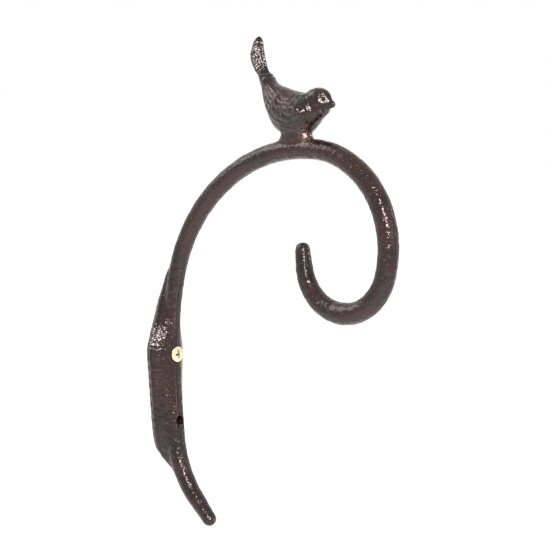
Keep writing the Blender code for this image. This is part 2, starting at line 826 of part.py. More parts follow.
def make_screw():
    """Brass wood screw with a raised countersunk head and a cross recess."""
    edge = screw_seat()
    head = SCREW_HEAD_DIAMETER / 2
    shank = SCREW_SHANK_DIAMETER / 2
    crown = edge + SCREW_HEAD_EDGE
    tip = crown + SCREW_HEAD_DOME - SCREW_LENGTH
    cone = (head - shank) / math.tan(COUNTERSINK_ANGLE / 2)
    profile = [
        (tip, SCREW_POINT_DIAMETER / 2),
        (tip + SCREW_POINT_LENGTH, shank),
        (edge - cone, shank),
        (edge, head),
        (crown, head),
    ]
    for k in range(1, SCREW_DOME_RINGS):
        angle = math.pi / 2 * k / SCREW_DOME_RINGS
        profile.append((crown + SCREW_HEAD_DOME * math.sin(angle), head * math.cos(angle)))
    rings = []
    for out, radius in profile:
        rings.append([
            Vector((out, radius * math.cos(math.tau * k / SCREW_SIDES),
                    HOLE_SPACING / 2 + radius * math.sin(math.tau * k / SCREW_SIDES)))
            for k in range(SCREW_SIDES)
        ])
    apex = Vector((crown + SCREW_HEAD_DOME, 0.0, HOLE_SPACING / 2))
    screw = loft("wood_screw", rings, None, apex)
    return combine(screw, [cross_arm(CROSS_TURN + k * math.pi / 2, apex) for k in range(2)], "DIFFERENCE")


def cross_arm(turn, apex):
    """Cutter for one arm of the cross recess, narrower at its bottom."""
    along = Vector((0.0, math.cos(turn), math.sin(turn)))
    across = Vector((0.0, -math.sin(turn), math.cos(turn)))
    rings = []
    for depth, share in ((CROSS_DEPTH, CROSS_BOTTOM_SHARE), (0.0, 1.0), (-SCREW_HEAD_DOME, 1.0)):
        middle = apex - Vector((depth, 0.0, 0.0))
        length = along * (CROSS_LENGTH / 2 * share)
        width = across * (CROSS_WIDTH / 2 * mix(share, 1.0, CROSS_BOTTOM_SHARE))
        rings.append([
            middle - length - width,
            middle + length - width,
            middle + length + width,
            middle - length + width,
        ])
    return loft("cross", rings)


# Assembly


def add_material(item, name, colour, roughness, metallic):
    """Give the object its own Principled material."""
    material = bpy.data.materials.new(name)
    material.use_nodes = True
    shader = material.node_tree.nodes["Principled BSDF"]
    shader.inputs["Base Color"].default_value = colour
    shader.inputs["Roughness"].default_value = roughness
    shader.inputs["Metallic"].default_value = metallic
    material.diffuse_color = colour
    item.data.materials.clear()
    item.data.materials.append(material)


def smooth(item):
    """Shade the curved skin smooth and keep its crisp edges."""
    item.data.shade_smooth()
    item.data.set_sharp_from_angle(angle=SHARP_ANGLE)


def make_casting():
    """One iron casting: plate, bar and bird in one skin, with two screw holes."""
    casting = make_plate()
    casting.name = "bracket_casting"
    casting.data.name = "bracket_casting"
    forms = [make_arm(), make_tail(), make_saddle(), make_body(), make_head(), make_beak(), make_blade()]
    forms += make_eyes()
    forms += make_wings()
    combine(casting, forms, "UNION")
    holes = [
        screw_hole(HOLE_SPACING / 2, SEAT_DIAMETER),
        screw_hole(-HOLE_SPACING / 2, EMPTY_SEAT_DIAMETER),
    ]
    combine(casting, holes, "DIFFERENCE")
    return casting


def main():
    """Build the bracket and its screw."""
    clear_scene()
    casting = make_casting()
    add_material(casting, "black_lacquered_iron", IRON_COLOUR, IRON_ROUGHNESS, IRON_METALLIC)
    smooth(casting)
    screw = make_screw()
    screw.name = "wood_screw"
    add_material(screw, "brass", BRASS_COLOUR, BRASS_ROUGHNESS, BRASS_METALLIC)
    smooth(screw)


main()
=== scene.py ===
"""Looks of the plant hanging bracket: its lacquered casting, the bird and the brass screw.

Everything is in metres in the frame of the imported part. The wall is the plane x = 0, the
bracket reaches out along +x, +z is up, and the casting's mould parts in the plane y = 0.
"""

import logging
import math
from collections.abc import Callable, Mapping, Sequence
from dataclasses import dataclass, field
from enum import Enum

import bmesh
import bpy
import numpy as np
from mathutils import Matrix, Vector, noise

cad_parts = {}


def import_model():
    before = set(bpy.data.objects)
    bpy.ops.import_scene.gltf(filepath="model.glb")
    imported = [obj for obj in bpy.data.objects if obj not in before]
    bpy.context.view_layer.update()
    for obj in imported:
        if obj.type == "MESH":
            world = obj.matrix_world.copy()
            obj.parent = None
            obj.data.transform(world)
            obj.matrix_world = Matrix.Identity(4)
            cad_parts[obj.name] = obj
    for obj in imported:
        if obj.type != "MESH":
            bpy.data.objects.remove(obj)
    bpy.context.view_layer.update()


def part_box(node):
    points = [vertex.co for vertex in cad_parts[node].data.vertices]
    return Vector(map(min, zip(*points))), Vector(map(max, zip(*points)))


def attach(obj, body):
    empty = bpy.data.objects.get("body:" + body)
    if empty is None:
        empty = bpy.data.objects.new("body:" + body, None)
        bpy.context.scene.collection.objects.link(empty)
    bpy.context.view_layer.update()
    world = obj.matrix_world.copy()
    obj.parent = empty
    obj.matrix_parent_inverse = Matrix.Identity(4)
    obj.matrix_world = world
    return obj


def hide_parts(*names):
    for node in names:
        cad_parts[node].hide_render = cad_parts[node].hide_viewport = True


LOG = logging.getLogger("bracket")
BODY = "root"
CASTING_NODE = "bracket_casting"
SCREW_NODE = "wood_screw"
MM = 0.001
LEAST_LENGTH = 0.01 * MM
LEAST_SHARE = 0.001
SMOOTHING = 0.5
SIDEWAYS = Vector((0.0, 1.0, 0.0))
WHITE = (1.0, 1.0, 1.0, 1.0)

Ring = list[Vector]
Pair = tuple[float, float]
Triple = tuple[float, float, float]
Colour = tuple[float, float, float, float]

WHOLE: Pair = (0.0, 1.0)

# Sockets of Blender's Mix node when it mixes colours.
MIX_MASK, MIX_FIRST, MIX_SECOND, MIX_RESULT = 0, 6, 7, 2


def mix(first: float, second: float, share: float) -> float:
    """Return the value a share of the way from first to second."""
    return first + (second - first) * share


def soft_least(first: float, second: float, softness: float) -> float:
    """Return the lesser of two lengths, with a rounded change between them."""
    return (first + second - math.hypot(first - second, softness)) / 2


def soft_most(first: float, second: float, softness: float) -> float:
    """Return the greater of two lengths, with a rounded change between them."""
    return (first + second + math.hypot(first - second, softness)) / 2


def around(count: int) -> list[Pair]:
    """Return the cosines and sines of evenly spaced turns round a circle."""
    angles = [math.tau * k / count for k in range(count)]
    return [(math.cos(angle), math.sin(angle)) for angle in angles]


def curve_value(rows: Sequence[Sequence[float]], position: float) -> list[float]:
    """Read a smooth curve through rows of values.

    Args:
        rows: Rows of equally many values, evenly spaced along the curve.
        position: Place along the curve, from 0 to 1.

    Returns:
        The value of each column at that place.
    """
    last = len(rows) - 1
    place = min(max(position, 0.0), 1.0) * last
    k = min(int(place), last - 1)
    t = place - k
    before, start = rows[max(k - 1, 0)], rows[k]
    end, after = rows[k + 1], rows[min(k + 2, last)]
    values = []
    for p, q, r, s in zip(before, start, end, after):
        slope_in, slope_out = (r - p) / 2, (s - q) / 2
        values.append(
            q * (2 * t ** 3 - 3 * t ** 2 + 1)
            + slope_in * (t ** 3 - 2 * t ** 2 + t)
            + r * (3 * t ** 2 - 2 * t ** 3)
            + slope_out * (t ** 3 - t ** 2)
        )
    return values


def link_object(name: str, data: bpy.types.ID) -> bpy.types.Object:
    """Put a mesh, a lamp or a camera into the scene as an object."""
    item = bpy.data.objects.new(name, data)
    bpy.context.scene.collection.objects.link(item)
    return item


def link_mesh(name: str, bm: bmesh.types.BMesh) -> bpy.types.Object:
    """Turn a bmesh, which is freed, into a linked object with its faces outwards."""
    bmesh.ops.recalc_face_normals(bm, faces=bm.faces)
    mesh = bpy.data.meshes.new(name)
    bm.to_mesh(mesh)
    bm.free()
    return link_object(name, mesh)


def loft(
    name: str, rings: Sequence[Ring], first: Vector | None = None, last: Vector | None = None,
) -> bpy.types.Object:
    """Skin a row of rings and close both ends.

    Args:
        name: Name of the new object.
        rings: Rings of equally many points.
        first: Pole that closes the first ring, or None for a flat cap.
        last: Pole that closes the last ring, or None for a flat cap.

    Returns:
        The closed skin.
    """
    bm = bmesh.new()
    rows = [[bm.verts.new(point) for point in ring] for ring in rings]
    count = len(rows[0])
    for lower, upper in zip(rows, rows[1:]):
        for i in range(count):
            j = (i + 1) % count
            bm.faces.new((lower[i], lower[j], upper[j], upper[i]))
    for row, pole in ((rows[0], first), (rows[-1], last)):
        if pole is None:
            bm.faces.new(row)
            continue
        tip = bm.verts.new(pole)
        for i in range(count):
            bm.faces.new((row[i], row[(i + 1) % count], tip))
    return link_mesh(name, bm)


def apply_modifiers(item: bpy.types.Object) -> None:
    """Replace the object's mesh by its evaluated mesh."""
    graph = bpy.context.evaluated_depsgraph_get()
    mesh = bpy.data.meshes.new_from_object(item.evaluated_get(graph))
    item.modifiers.clear()
    item.data = mesh


def fuse(
    name: str, forms: Sequence[bpy.types.Object], voxel: float, soft_rounds: int,
) -> bpy.types.Object:
    """Fuse overlapping closed forms into one soft skin, as molten iron fills one mould.

    Args:
        name: Name of the fused object.
        forms: Closed forms that overlap, which are removed.
        voxel: Size of the skin's cells.
        soft_rounds: How often the skin's edges and creases are smoothed.

    Returns:
        The fused object.
    """
    bm = bmesh.new()
    for form in forms:
        bm.from_mesh(form.data)
        bpy.data.objects.remove(form, do_unlink=True)
    item = link_mesh(name, bm)
    remesh = item.modifiers.new("fuse", "REMESH")
    remesh.mode = "VOXEL"
    remesh.voxel_size = voxel
    remesh.adaptivity = 0.0
    apply_modifiers(item)
    smooth = item.modifiers.new("relax", "SMOOTH")
    smooth.iterations = soft_rounds
    smooth.factor = SMOOTHING
    apply_modifiers(item)
    return item


def cut(item: bpy.types.Object, tools: Sequence[bpy.types.Object]) -> None:
    """Cut closed tools from an object and remove them."""
    for tool in tools:
        modifier = item.modifiers.new(tool.name, "BOOLEAN")
        modifier.operation = "DIFFERENCE"
        modifier.solver = "EXACT"
        modifier.object = tool
    apply_modifiers(item)
    for tool in tools:
        bpy.data.objects.remove(tool, do_unlink=True)


def shade(item: bpy.types.Object, sharp_angle: float) -> None:
    """Shade an object smoothly, with sharp edges where it turns more than an angle."""
    item.data.shade_smooth()
    item.data.set_sharp_from_angle(angle=sharp_angle)


def mesh_arrays(item: bpy.types.Object) -> tuple[np.ndarray, np.ndarray]:
    """Return the places and the normals of an object's points, one row each."""
    mesh = item.data
    places = np.empty(len(mesh.vertices) * 3)
    normals = np.empty(len(mesh.vertices) * 3)
    mesh.vertices.foreach_get("co", places)
    mesh.vertex_normals.foreach_get("vector", normals)
    return places.reshape(-1, 3), normals.reshape(-1, 3)


def move_points(item: bpy.types.Object, places: np.ndarray) -> None:
    """Write new places of an object's points."""
    item.data.vertices.foreach_set("co", places.ravel())
    item.data.update()


def keep_values(item: bpy.types.Object, name: str, values: np.ndarray) -> None:
    """Keep one value for each point of an object, for its finish to read."""
    item.data.attributes.new(name, "FLOAT", "POINT").data.foreach_set("value", values)


@dataclass(frozen=True)
class Lump:
    """Round rise, dent, or spot of bronze wear and painted glint, which fades away from its middle.
    """

    place: Triple
    radius: float
    height: float

    def rise(self, places: np.ndarray, steepness: float = 1.0) -> np.ndarray:
        """Return how much it adds at each of the places."""
        away = np.linalg.norm(places - np.array(self.place), axis=1)
        return self.height * np.exp(-((away / self.radius) ** 2) * steepness)


def on_both_sides(rows: Sequence[Sequence[float]]) -> tuple[Lump, ...]:
    """Return lumps that come in pairs, one on each side of the middle plane.

    Args:
        rows: Each pair's reach, distance from the middle plane, height above the frame's
            origin, radius and rise, all in millimetres.

    Returns:
        The lumps, two for each row.
    """
    return tuple(
        Lump((reach * MM, side * off * MM, height * MM), radius * MM, rise * MM)
        for reach, off, height, radius, rise in rows
        for side in (-1, 1)
    )


@dataclass(frozen=True)
class CastUnevenness:
    """Slow waves and single lumps of a sand casting, as real shape.

    The nubs are faults of the mould. The wrists are the bulges and hollows where the folded
    wings meet the neck, and the cheeks are those about the beak and the eyes.
    """

    waves: tuple[Pair, ...] = (
        (11.0 * MM, 0.10 * MM),
        (3.2 * MM, 0.11 * MM),
        (1.7 * MM, 0.13 * MM),
    )
    nubs: tuple[Lump, ...] = (
        Lump((117.4 * MM, -1.0 * MM, 24.9 * MM), 1.5 * MM, 0.5 * MM),
        Lump((86.3 * MM, -1.0 * MM, 70.6 * MM), 1.4 * MM, 0.45 * MM),
        Lump((4.8 * MM, -4.0 * MM, -28.9 * MM), 1.5 * MM, 0.6 * MM),
    )
    wrists: tuple[Lump, ...] = on_both_sides((
        (85.6, 9.0, 133.0, 4.0, 1.6),
        (90.6, 8.5, 130.2, 4.8, 2.0),
        (92.0, 10.4, 130.8, 6.0, -1.5),
        (96.7, 5.6, 133.3, 5.2, -0.75),
        (88.6, 6.3, 129.7, 6.0, 1.6),
    ))
    cheeks: tuple[Lump, ...] = on_both_sides((
        (97.3, 1.9, 132.5, 3.1, 1.6),
        (96.4, 3.8, 134.4, 2.4, 0.7),
        (100.7, 3.9, 137.3, 4.0, -0.75),
        (100.4, 3.5, 136.0, 3.2, -0.42),
    ))
    steepness: float = 2.0

    def shape(self, item: bpy.types.Object, low: Vector, high: Vector) -> None:
        """Move the skin along its normals, and keep it within a box.

        Args:
            item: Object whose mesh is changed.
            low: Lowest corner that the skin may reach.
            high: Highest corner that the skin may reach.
        """
        places, normals = mesh_arrays(item)
        lift = np.array([
            sum(height * noise.noise(Vector(place) / wave) for wave, height in self.waves)
            for place in places
        ])
        for lump in self.nubs + self.wrists + self.cheeks:
            lift += lump.rise(places, self.steepness)
        places = places + normals * lift[:, None]
        move_points(item, np.clip(places, np.array(low), np.array(high)))


@dataclass(frozen=True)
class LacquerWearShadeAndGlint:
    """How far each point stands out of or sinks into its surroundings, for worn lacquer on ridges
    and painted shade in grooves, and spots of bronze wear and painted glint, kept as mesh values.
    """

    relief_name: str = "relief"
    wear_and_glint_name: str = "wear_and_glint_spots"
    near_rounds: int = 8
    far_rounds: int = 40
    full_height: float = 0.05 * MM
    # Bronze spots: one at the bird's base fillet, part wear and part painted golden glint; one on
    # the lower hole's lower lip, a painted glint.
    wear_and_glint_spots: tuple[Lump, ...] = (
        Lump((90.0 * MM, -4.5 * MM, 119.3 * MM), 3.2 * MM, 1.0),
        Lump((8.8 * MM, -1.0 * MM, -18.9 * MM), 0.8 * MM, 1.2),
    )

    def spread(self, values: np.ndarray, edges: np.ndarray, rounds: int) -> np.ndarray:
        """Average values over the points' neighbours.

        Args:
            values: One row of values for each point.
            edges: The two points of each edge.
            rounds: How often they are averaged.

        Returns:
            The averaged values.
        """
        count = len(values)
        first, second = edges[:, 0], edges[:, 1]
        degree = np.maximum(np.bincount(edges.ravel(), minlength=count), 1)
        for _ in range(rounds):
            values = np.stack([
                (
                    np.bincount(first, column[second], count)
                    + np.bincount(second, column[first], count)
                ) / degree
                for column in values.T
            ], axis=1)
        return values

    def mark(self, item: bpy.types.Object) -> None:
        """Keep how far each point stands out (worn ridges, painted shade in grooves) and its spots
        of bronze wear and painted glint.
        """
        places, normals = mesh_arrays(item)
        edges = np.empty(len(item.data.edges) * 2, dtype=np.int32)
        item.data.edges.foreach_get("vertices", edges)
        edges = edges.reshape(-1, 2)
        out = places - self.spread(places, edges, self.near_rounds)
        proud = (out * normals).sum(axis=1)[:, None]
        relief = (proud - self.spread(proud, edges, self.far_rounds)).ravel()
        keep_values(item, self.relief_name, relief / self.full_height)
        keep_values(item, self.wear_and_glint_name, sum(spot.rise(places) for spot in self.wear_and_glint_spots))


@dataclass(frozen=True)
class TailBarbs:
    """Slanted barbs that the pattern maker cut across the tail's feathers."""

    pitch: float = 1.2 * MM
    height: float = 0.035 * MM
    slant: float = 0.9
    bare: float = 0.7 * MM
    bare_share: float = 0.3
    root_fade: float = 14.0
    tip_fade: float = 12.0

    def shape(self, item: bpy.types.Object, root: Vector, tip: Vector) -> None:
        """Raise the barbs on the part of the skin between the tail's root and its tip.

        Args:
            item: Object whose mesh is changed.
            root: Middle of the tail's root.
            tip: Tip of the tail.
        """
        places, normals = mesh_arrays(item)
        off = np.abs(places[:, 1])
        share = (places[:, 2] - root.z) / (tip.z - root.z)
        fade = np.minimum.reduce([
            share * self.root_fade,
            (1 - share) * self.tip_fade,
            off / self.bare - self.bare_share,
            np.ones(len(off)),
        ])
        fade = np.where(places[:, 0] > root.x, 0.0, np.maximum(fade, 0.0))
        wave = np.cos(math.tau * (places[:, 2] - self.slant * off) / self.pitch)
        move_points(item, places + normals * (self.height * wave * fade)[:, None])


@dataclass(frozen=True)
class Run:
    """One arc of the bar: its radius, its sweep and the bar's diameter where it ends."""

    radius: float
    sweep: float
    diameter: float


@dataclass(frozen=True)
class Station:
    """One place on the bar's centre line, its heading from +z towards +x, and its diameter."""

    x: float
    z: float
    heading: float
    diameter: float

    def ring(self, sides: int, grow: float = 0.0) -> Ring:
        """Return the bar's round section here.

        Args:
            sides: Number of points.
            grow: Length added to the radius.

        Returns:
            The points of the section.
        """
        across = Vector((math.cos(self.heading), 0.0, -math.sin(self.heading)))
        radius = self.diameter / 2 + grow
        middle = Vector((self.x, 0.0, self.z))
        return [middle + (across * cos + SIDEWAYS * sin) * radius for cos, sin in around(sides)]


@dataclass
class Bar:
    """Round bar from the tail's end, behind the plate and over the crown, to the crook's tip."""

    rest_height: float = 24.0 * MM
    rest_standoff: float = 5.5 * MM
    rest_diameter: float = 7.7 * MM
    upper: tuple[Run, ...] = (
        Run(134.0 * MM, math.radians(12.4), 8.1 * MM),
        Run(75.4 * MM, math.radians(27.2), 8.7 * MM),
        Run(80.8 * MM, math.radians(55.4), 9.2 * MM),
        Run(43.7 * MM, math.radians(50.0), 9.8 * MM),
        Run(43.4 * MM, math.radians(53.1), 9.5 * MM),
        Run(23.1 * MM, math.radians(75.0), 10.2 * MM),
        Run(22.8 * MM, math.radians(73.8), 8.1 * MM),
        Run(54.4 * MM, math.radians(10.7), 6.9 * MM),
    )
    lower: tuple[Run, ...] = (
        Run(528.0 * MM, math.radians(5.0), 9.2 * MM),
        Run(50.5 * MM, math.radians(38.0), 8.0 * MM),
    )
    tail_straight: float = 12.2 * MM
    tail_end_diameter: float = 6.7 * MM
    pitch: float = 0.8 * MM
    sides: int = 64
    end_rings: int = 10
    crown_run: int = 2
    crown_least_height: float = 48.0 * MM
    crown_least_lean: float = 0.5
    stub_dip: float = 3.0

    def trace(self, upwards: bool) -> list[Station]:
        """Follow the bar from its place of rest.

        Args:
            upwards: Whether to follow it up to the crook or down to the tail.

        Returns:
            Stations in the order in which they are met.
        """
        sense = 1 if upwards else -1
        x, z = self.rest_standoff, self.rest_height
        turned, diameter = 0.0, self.rest_diameter
        stations = [Station(x, z, turned, diameter)]
        for run in self.upper if upwards else self.lower:
            steps = math.ceil(run.radius * run.sweep / self.pitch)
            centre_x = x + run.radius * math.cos(turned)
            centre_z = z - sense * run.radius * math.sin(turned)
            for k in range(1, steps + 1):
                angle = turned + run.sweep * k / steps
                stations.append(Station(
                    centre_x - run.radius * math.cos(angle),
                    centre_z + sense * run.radius * math.sin(angle),
                    sense * angle,
                    mix(diameter, run.diameter, k / steps),
                ))
            x, z = stations[-1].x, stations[-1].z
            turned, diameter = turned + run.sweep, run.diameter
        return stations

    def stations(self) -> list[Station]:
        """Return the whole bar's stations, from the tail's end to the crook's tip."""
        down = self.trace(upwards=False)
        end = down[-1]
        steps = math.ceil(self.tail_straight / self.pitch)
        for k in range(1, steps + 1):
            run = self.tail_straight * k / steps
            down.append(Station(
                end.x - run * math.sin(end.heading),
                end.z - run * math.cos(end.heading),
                end.heading,
                mix(end.diameter, self.tail_end_diameter, k / steps),
            ))
        return down[:0:-1] + self.trace(upwards=True)

    def rounded_end(self, station: Station, sense: int) -> tuple[list[Ring], Vector]:
        """Round the bar off beyond its first or last station.

        Args:
            station: Where the round end starts.
            sense: 1 to go on along the bar's heading, -1 to go back.

        Returns:
            The rings and the pole of the end.
        """
        ahead = Vector((math.sin(station.heading), 0.0, math.cos(station.heading))) * sense
        rings = []
        for k in range(1, self.end_rings):
            angle = math.pi / 2 * k / self.end_rings
            shift = ahead * (station.diameter / 2 * math.sin(angle))
            end = Station(
                station.x + shift.x, station.z + shift.z,
                station.heading, station.diameter * math.cos(angle),
            )
            rings.append(end.ring(self.sides))
        return rings, Vector((station.x, 0.0, station.z)) + ahead * (station.diameter / 2)

    def build(self) -> bpy.types.Object:
        """Build the whole bar with both of its round ends."""
        stations = self.stations()
        first_rings, first = self.rounded_end(stations[0], -1)
        last_rings, last = self.rounded_end(stations[-1], 1)
        rings = first_rings[::-1] + [station.ring(self.sides) for station in stations] + last_rings
        return loft("bar", rings, first, last)

    def build_stub(
        self, centre: float, half_length: float, fade: float, proud: float,
    ) -> bpy.types.Object:
        """Build the short stretch of bar that the bird's skin runs out on.

        Args:
            centre: Reach of its middle from the wall.
            half_length: Length to each side.
            fade: Length over which each end dips under the bar's skin.
            proud: How far its middle stands out of the bar's skin.

        Returns:
            The stub.
        """
        rings = []
        for station in self.trace(upwards=True):
            left = half_length - abs(station.x - centre)
            on_crown = station.z >= self.crown_least_height
            if left < 0 or not on_crown or math.sin(station.heading) < self.crown_least_lean:
                continue
            grow = mix(-self.stub_dip * proud, proud, min(left / fade, 1.0))
            rings.append(station.ring(self.sides, grow))
        return loft("stub", rings)

    def core(self, height: float) -> tuple[float, float, float]:
        """Measure the bar where it passes a height on the plate.

        Args:
            height: Height above the frame's origin.

        Returns:
            Its centre's distance from the wall, its radius and its lean.
        """
        left = abs(height - self.rest_height)
        centre, turned, diameter = self.rest_standoff, 0.0, self.rest_diameter
        for run in self.upper if height >= self.rest_height else self.lower:
            rise = run.radius * (math.sin(turned + run.sweep) - math.sin(turned))
            if left > rise:
                centre += run.radius * (math.cos(turned) - math.cos(turned + run.sweep))
                left -= rise
                turned, diameter = turned + run.sweep, run.diameter
                continue
            lean = math.asin(math.sin(turned) + left / run.radius)
            centre += run.radius * (math.cos(turned) - math.cos(lean))
            return centre, mix(diameter, run.diameter, (lean - turned) / run.sweep) / 2, lean
        return centre, diameter / 2, turned

    def top_at(self, reach: float) -> float:
        """Return the height of the bar's upper side at a reach from the wall, on its way out."""
        stations = self.trace(upwards=True)
        for here, there in zip(stations, stations[1:]):
            if here.z > self.crown_least_height and here.x <= reach <= there.x:
                share = (reach - here.x) / (there.x - here.x)
                radius = mix(here.diameter, there.diameter, share) / 2
                return mix(here.z, there.z, share) + radius / math.sin(here.heading)
        return max(station.z + station.diameter / 2 for station in stations)


@dataclass
class WallPlate:
    """Leaf-shaped plate: flat back, low rim, two flanks that rise to a narrow land."""

    bar: Bar
    width: float = 25.2 * MM
    widest_height: float = 19.0 * MM
    neck_height: float = 43.0 * MM
    neck_width: float = 7.0 * MM
    heel_height: float = -27.0 * MM
    heel_width: float = 15.6 * MM
    point_height: float = -38.0 * MM
    shoulder_softness: float = 1.4 * MM
    heel_softness: float = 2.0 * MM
    tongue_width: float = 3.4 * MM
    tongue_softness: float = 1.6 * MM
    tongue_blend: float = 4.0 * MM
    top: float = 56.5 * MM
    bottom: float = -38.5 * MM
    tuck: float = 2.5 * MM
    rim: float = 2.0 * MM
    edge_round: float = 0.6 * MM
    flank_bulge: float = 0.7 * MM
    flank_steps: int = 16
    cover: float = 0.06 * MM
    pitch: float = 0.8 * MM
    top_lift_start: float = 38.0 * MM
    top_lift_radius: float = 40.0 * MM
    heel_lift_start: float = -28.0 * MM
    heel_lift_radius: float = 12.0 * MM
    land_width: float = 3.9 * MM
    land_depth: float = 0.25 * MM
    land_roof: float = 0.2 * MM
    land_fade_length: float = 18.0 * MM
    land_fade_share: float = 0.4
    hole_spacing: float = 32.0 * MM
    hole_diameter: float = 4.8 * MM
    seat_diameter: float = 8.8 * MM
    empty_seat_diameter: float = 6.4 * MM
    cut_overrun: float = 3.0 * MM
    hole_sides: int = 96

    def half_width(self, height: float) -> float:
        """Return half the leaf's width at a height."""
        widest, neck, heel = self.width / 2, self.neck_width / 2, self.heel_width / 2
        upper_share = (height - self.widest_height) / (self.neck_height - self.widest_height)
        lower_share = (height - self.widest_height) / (self.heel_height - self.widest_height)
        point_share = (height - self.heel_height) / (self.point_height - self.heel_height)
        width = soft_least(
            mix(widest, neck, upper_share), mix(widest, heel, lower_share), self.shoulder_softness,
        )
        width = soft_least(width, mix(heel, 0.0, point_share), self.heel_softness)
        return soft_most(width, self.tongue_width / 2, self.tongue_softness)

    def back(self, height: float) -> float:
        """Return the back's distance from the wall, as it curls away at both ends."""
        back = 0.0
        for radius, rise in (
            (self.top_lift_radius, height - self.top_lift_start),
            (self.heel_lift_radius, self.heel_lift_start - height),
        ):
            if rise > 0:
                back += radius - math.sqrt(radius ** 2 - rise ** 2)
        return back

    def land_left(self, height: float) -> float:
        """Return the share of the land that is left as it fades into the tail."""
        return min((height - self.bottom) / self.land_fade_length, 1.0)

    def land_front(self, height: float) -> float:
        """Return the distance from the wall to the land's edges."""
        centre, radius, lean = self.bar.core(height)
        return centre + radius / math.cos(lean) - self.land_depth * self.land_left(height)

    def flank(self, start: Pair, end: Pair, centre: float) -> list[Pair]:
        """Draw a flank from the rim's shoulder to the land's edge.

        Args:
            start: The shoulder, as its distances from the wall and from the middle plane.
            end: The land's edge, in the same way.
            centre: The bar's distance from the wall, about which the points are evenly turned.

        Returns:
            The flank's points.
        """
        (start_out, start_side), (end_out, end_side) = start, end
        first = math.atan2(start_side, start_out - centre)
        last = math.atan2(end_side, end_out - centre)
        run_out, run_side = end_out - start_out, end_side - start_side
        points = []
        for k in range(self.flank_steps + 1):
            angle = mix(first, last, k / self.flank_steps)
            out, side = math.cos(angle), math.sin(angle)
            across = (start_out - centre) * side - start_side * out
            share = across / (run_side * out - run_out * side)
            bulge = self.flank_bulge * math.sin(math.pi * share)
            place = mix(start_out, end_out, share) + bulge
            points.append((place, mix(start_side, end_side, share)))
        return points

    def section(self, height: float) -> list[Pair]:
        """Draw half of the leaf's section.

        Args:
            height: Height of the section.

        Returns:
            Points from the back to the land, as distances from the wall and the middle plane.
        """
        centre, radius, lean = self.bar.core(height)
        half = self.half_width(height)
        back = self.back(height)
        front = self.land_front(height)
        land = self.land_width / 2 * mix(self.land_fade_share, 1.0, self.land_left(height))
        edge = min(self.edge_round, half / 2)
        wide = min((half - self.tongue_width / 2) / self.tongue_blend, 1.0)
        rim = back + self.rim
        diagonal = edge * (1 - math.sqrt(0.5))
        pairs = [
            (back, 0.0),
            (back, (half - edge) / 2),
            (back, half - edge),
            (back + diagonal, half - diagonal),
            (back + edge, half),
            (rim - edge / 2, half),
            (rim, half - wide * edge / 4),
        ]
        pairs += self.flank((rim + edge / 2, half - wide * edge), (front, land), centre)
        kept = []
        for out, side in pairs:
            distance = math.hypot((out - centre) * math.cos(lean), side)
            scale = max((radius + self.cover) / max(distance, LEAST_LENGTH), 1.0)
            kept.append((centre + (out - centre) * scale, side * scale))
        kept.append((front + self.land_roof, 0.0))
        return kept

    def tucked(self, end: float, height: float) -> list[Pair]:
        """Draw the half section that ends the leaf just under the bar's skin.

        Args:
            end: Height of the leaf's end.
            height: Height of this section, a little beyond it.

        Returns:
            Points as of the leaf's other sections.
        """
        end_centre = self.bar.core(end)[0]
        centre, radius, lean = self.bar.core(height)
        pairs = []
        for out, side in self.section(end):
            distance = math.hypot((out - end_centre) * math.cos(lean), side)
            reach = (radius - 2 * self.cover) / distance
            pairs.append((centre + (out - end_centre) * reach, side * reach))
        return pairs

    def build(self) -> bpy.types.Object:
        """Build the leaf, still without its holes."""
        steps = math.ceil((self.top - self.bottom) / self.pitch)
        heights = [mix(self.bottom, self.top, k / steps) for k in range(steps + 1)]
        sections = [(height, self.section(height)) for height in heights]
        for end, beyond in (
            (self.bottom, self.bottom - self.tuck), (self.top, self.top + self.tuck),
        ):
            sections.append((beyond, self.tucked(end, beyond)))
        rings = []
        for height, half in sorted(sections):
            right = [Vector((out, side, height)) for out, side in half]
            left = [Vector((out, -side, height)) for out, side in half[-2:0:-1]]
            rings.append(right + left)
        return loft("plate", rings)

    def build_hole(self, height: float, seat: float) -> bpy.types.Object:
        """Build the cutter of one countersunk hole.

        Args:
            height: Height of the hole's axis.
            seat: Diameter of the countersink at the land.

        Returns:
            The cutter.
        """
        bore, mouth = self.hole_diameter / 2, seat / 2
        land = self.land_front(height)
        profile = (
            (-self.cut_overrun, bore),
            (land - (mouth - bore), bore),
            (land + self.cut_overrun, mouth + self.cut_overrun),
        )
        turns = around(self.hole_sides)
        return loft("hole", [
            [Vector((out, radius * cos, height + radius * sin)) for cos, sin in turns]
            for out, radius in profile
        ])


@dataclass
class Arm:
    """The casting's bar and plate in one skin."""

    bar: Bar
    plate: WallPlate
    unevenness: CastUnevenness
    wear_shade_and_glint: LacquerWearShadeAndGlint
    voxel: float = 0.44 * MM
    soft_rounds: int = 4
    sharp_angle: float = math.radians(40.0)

    def build(self, low: Vector, high: Vector) -> bpy.types.Object:
        """Build the skin, give it the casting's unevenness and cut its holes.

        Args:
            low: Lowest corner of the CAD casting.
            high: Highest corner of the CAD casting.

        Returns:
            The piece.
        """
        forms = [self.bar.build(), self.plate.build()]
        item = fuse("bracket_arm", forms, self.voxel, self.soft_rounds)
        self.wear_shade_and_glint.mark(item)
        self.unevenness.shape(item, low, high)
        half = self.plate.hole_spacing / 2
        cut(item, [
            self.plate.build_hole(half, self.plate.seat_diameter),
            self.plate.build_hole(-half, self.plate.empty_seat_diameter),
        ])
        shade(item, self.sharp_angle)
        return item


@dataclass(frozen=True)
class WingLayer:
    """One shingle of the wing.

    It lies from start to end along the body, 0 at the tail's root and 1 at the throat. It
    spans an angle that starts at top, measured from the back line down the flank. Its relief
    is a share of the wing's.
    """

    start: float
    end: float
    top: float
    span: float
    relief: float
    feathers: int


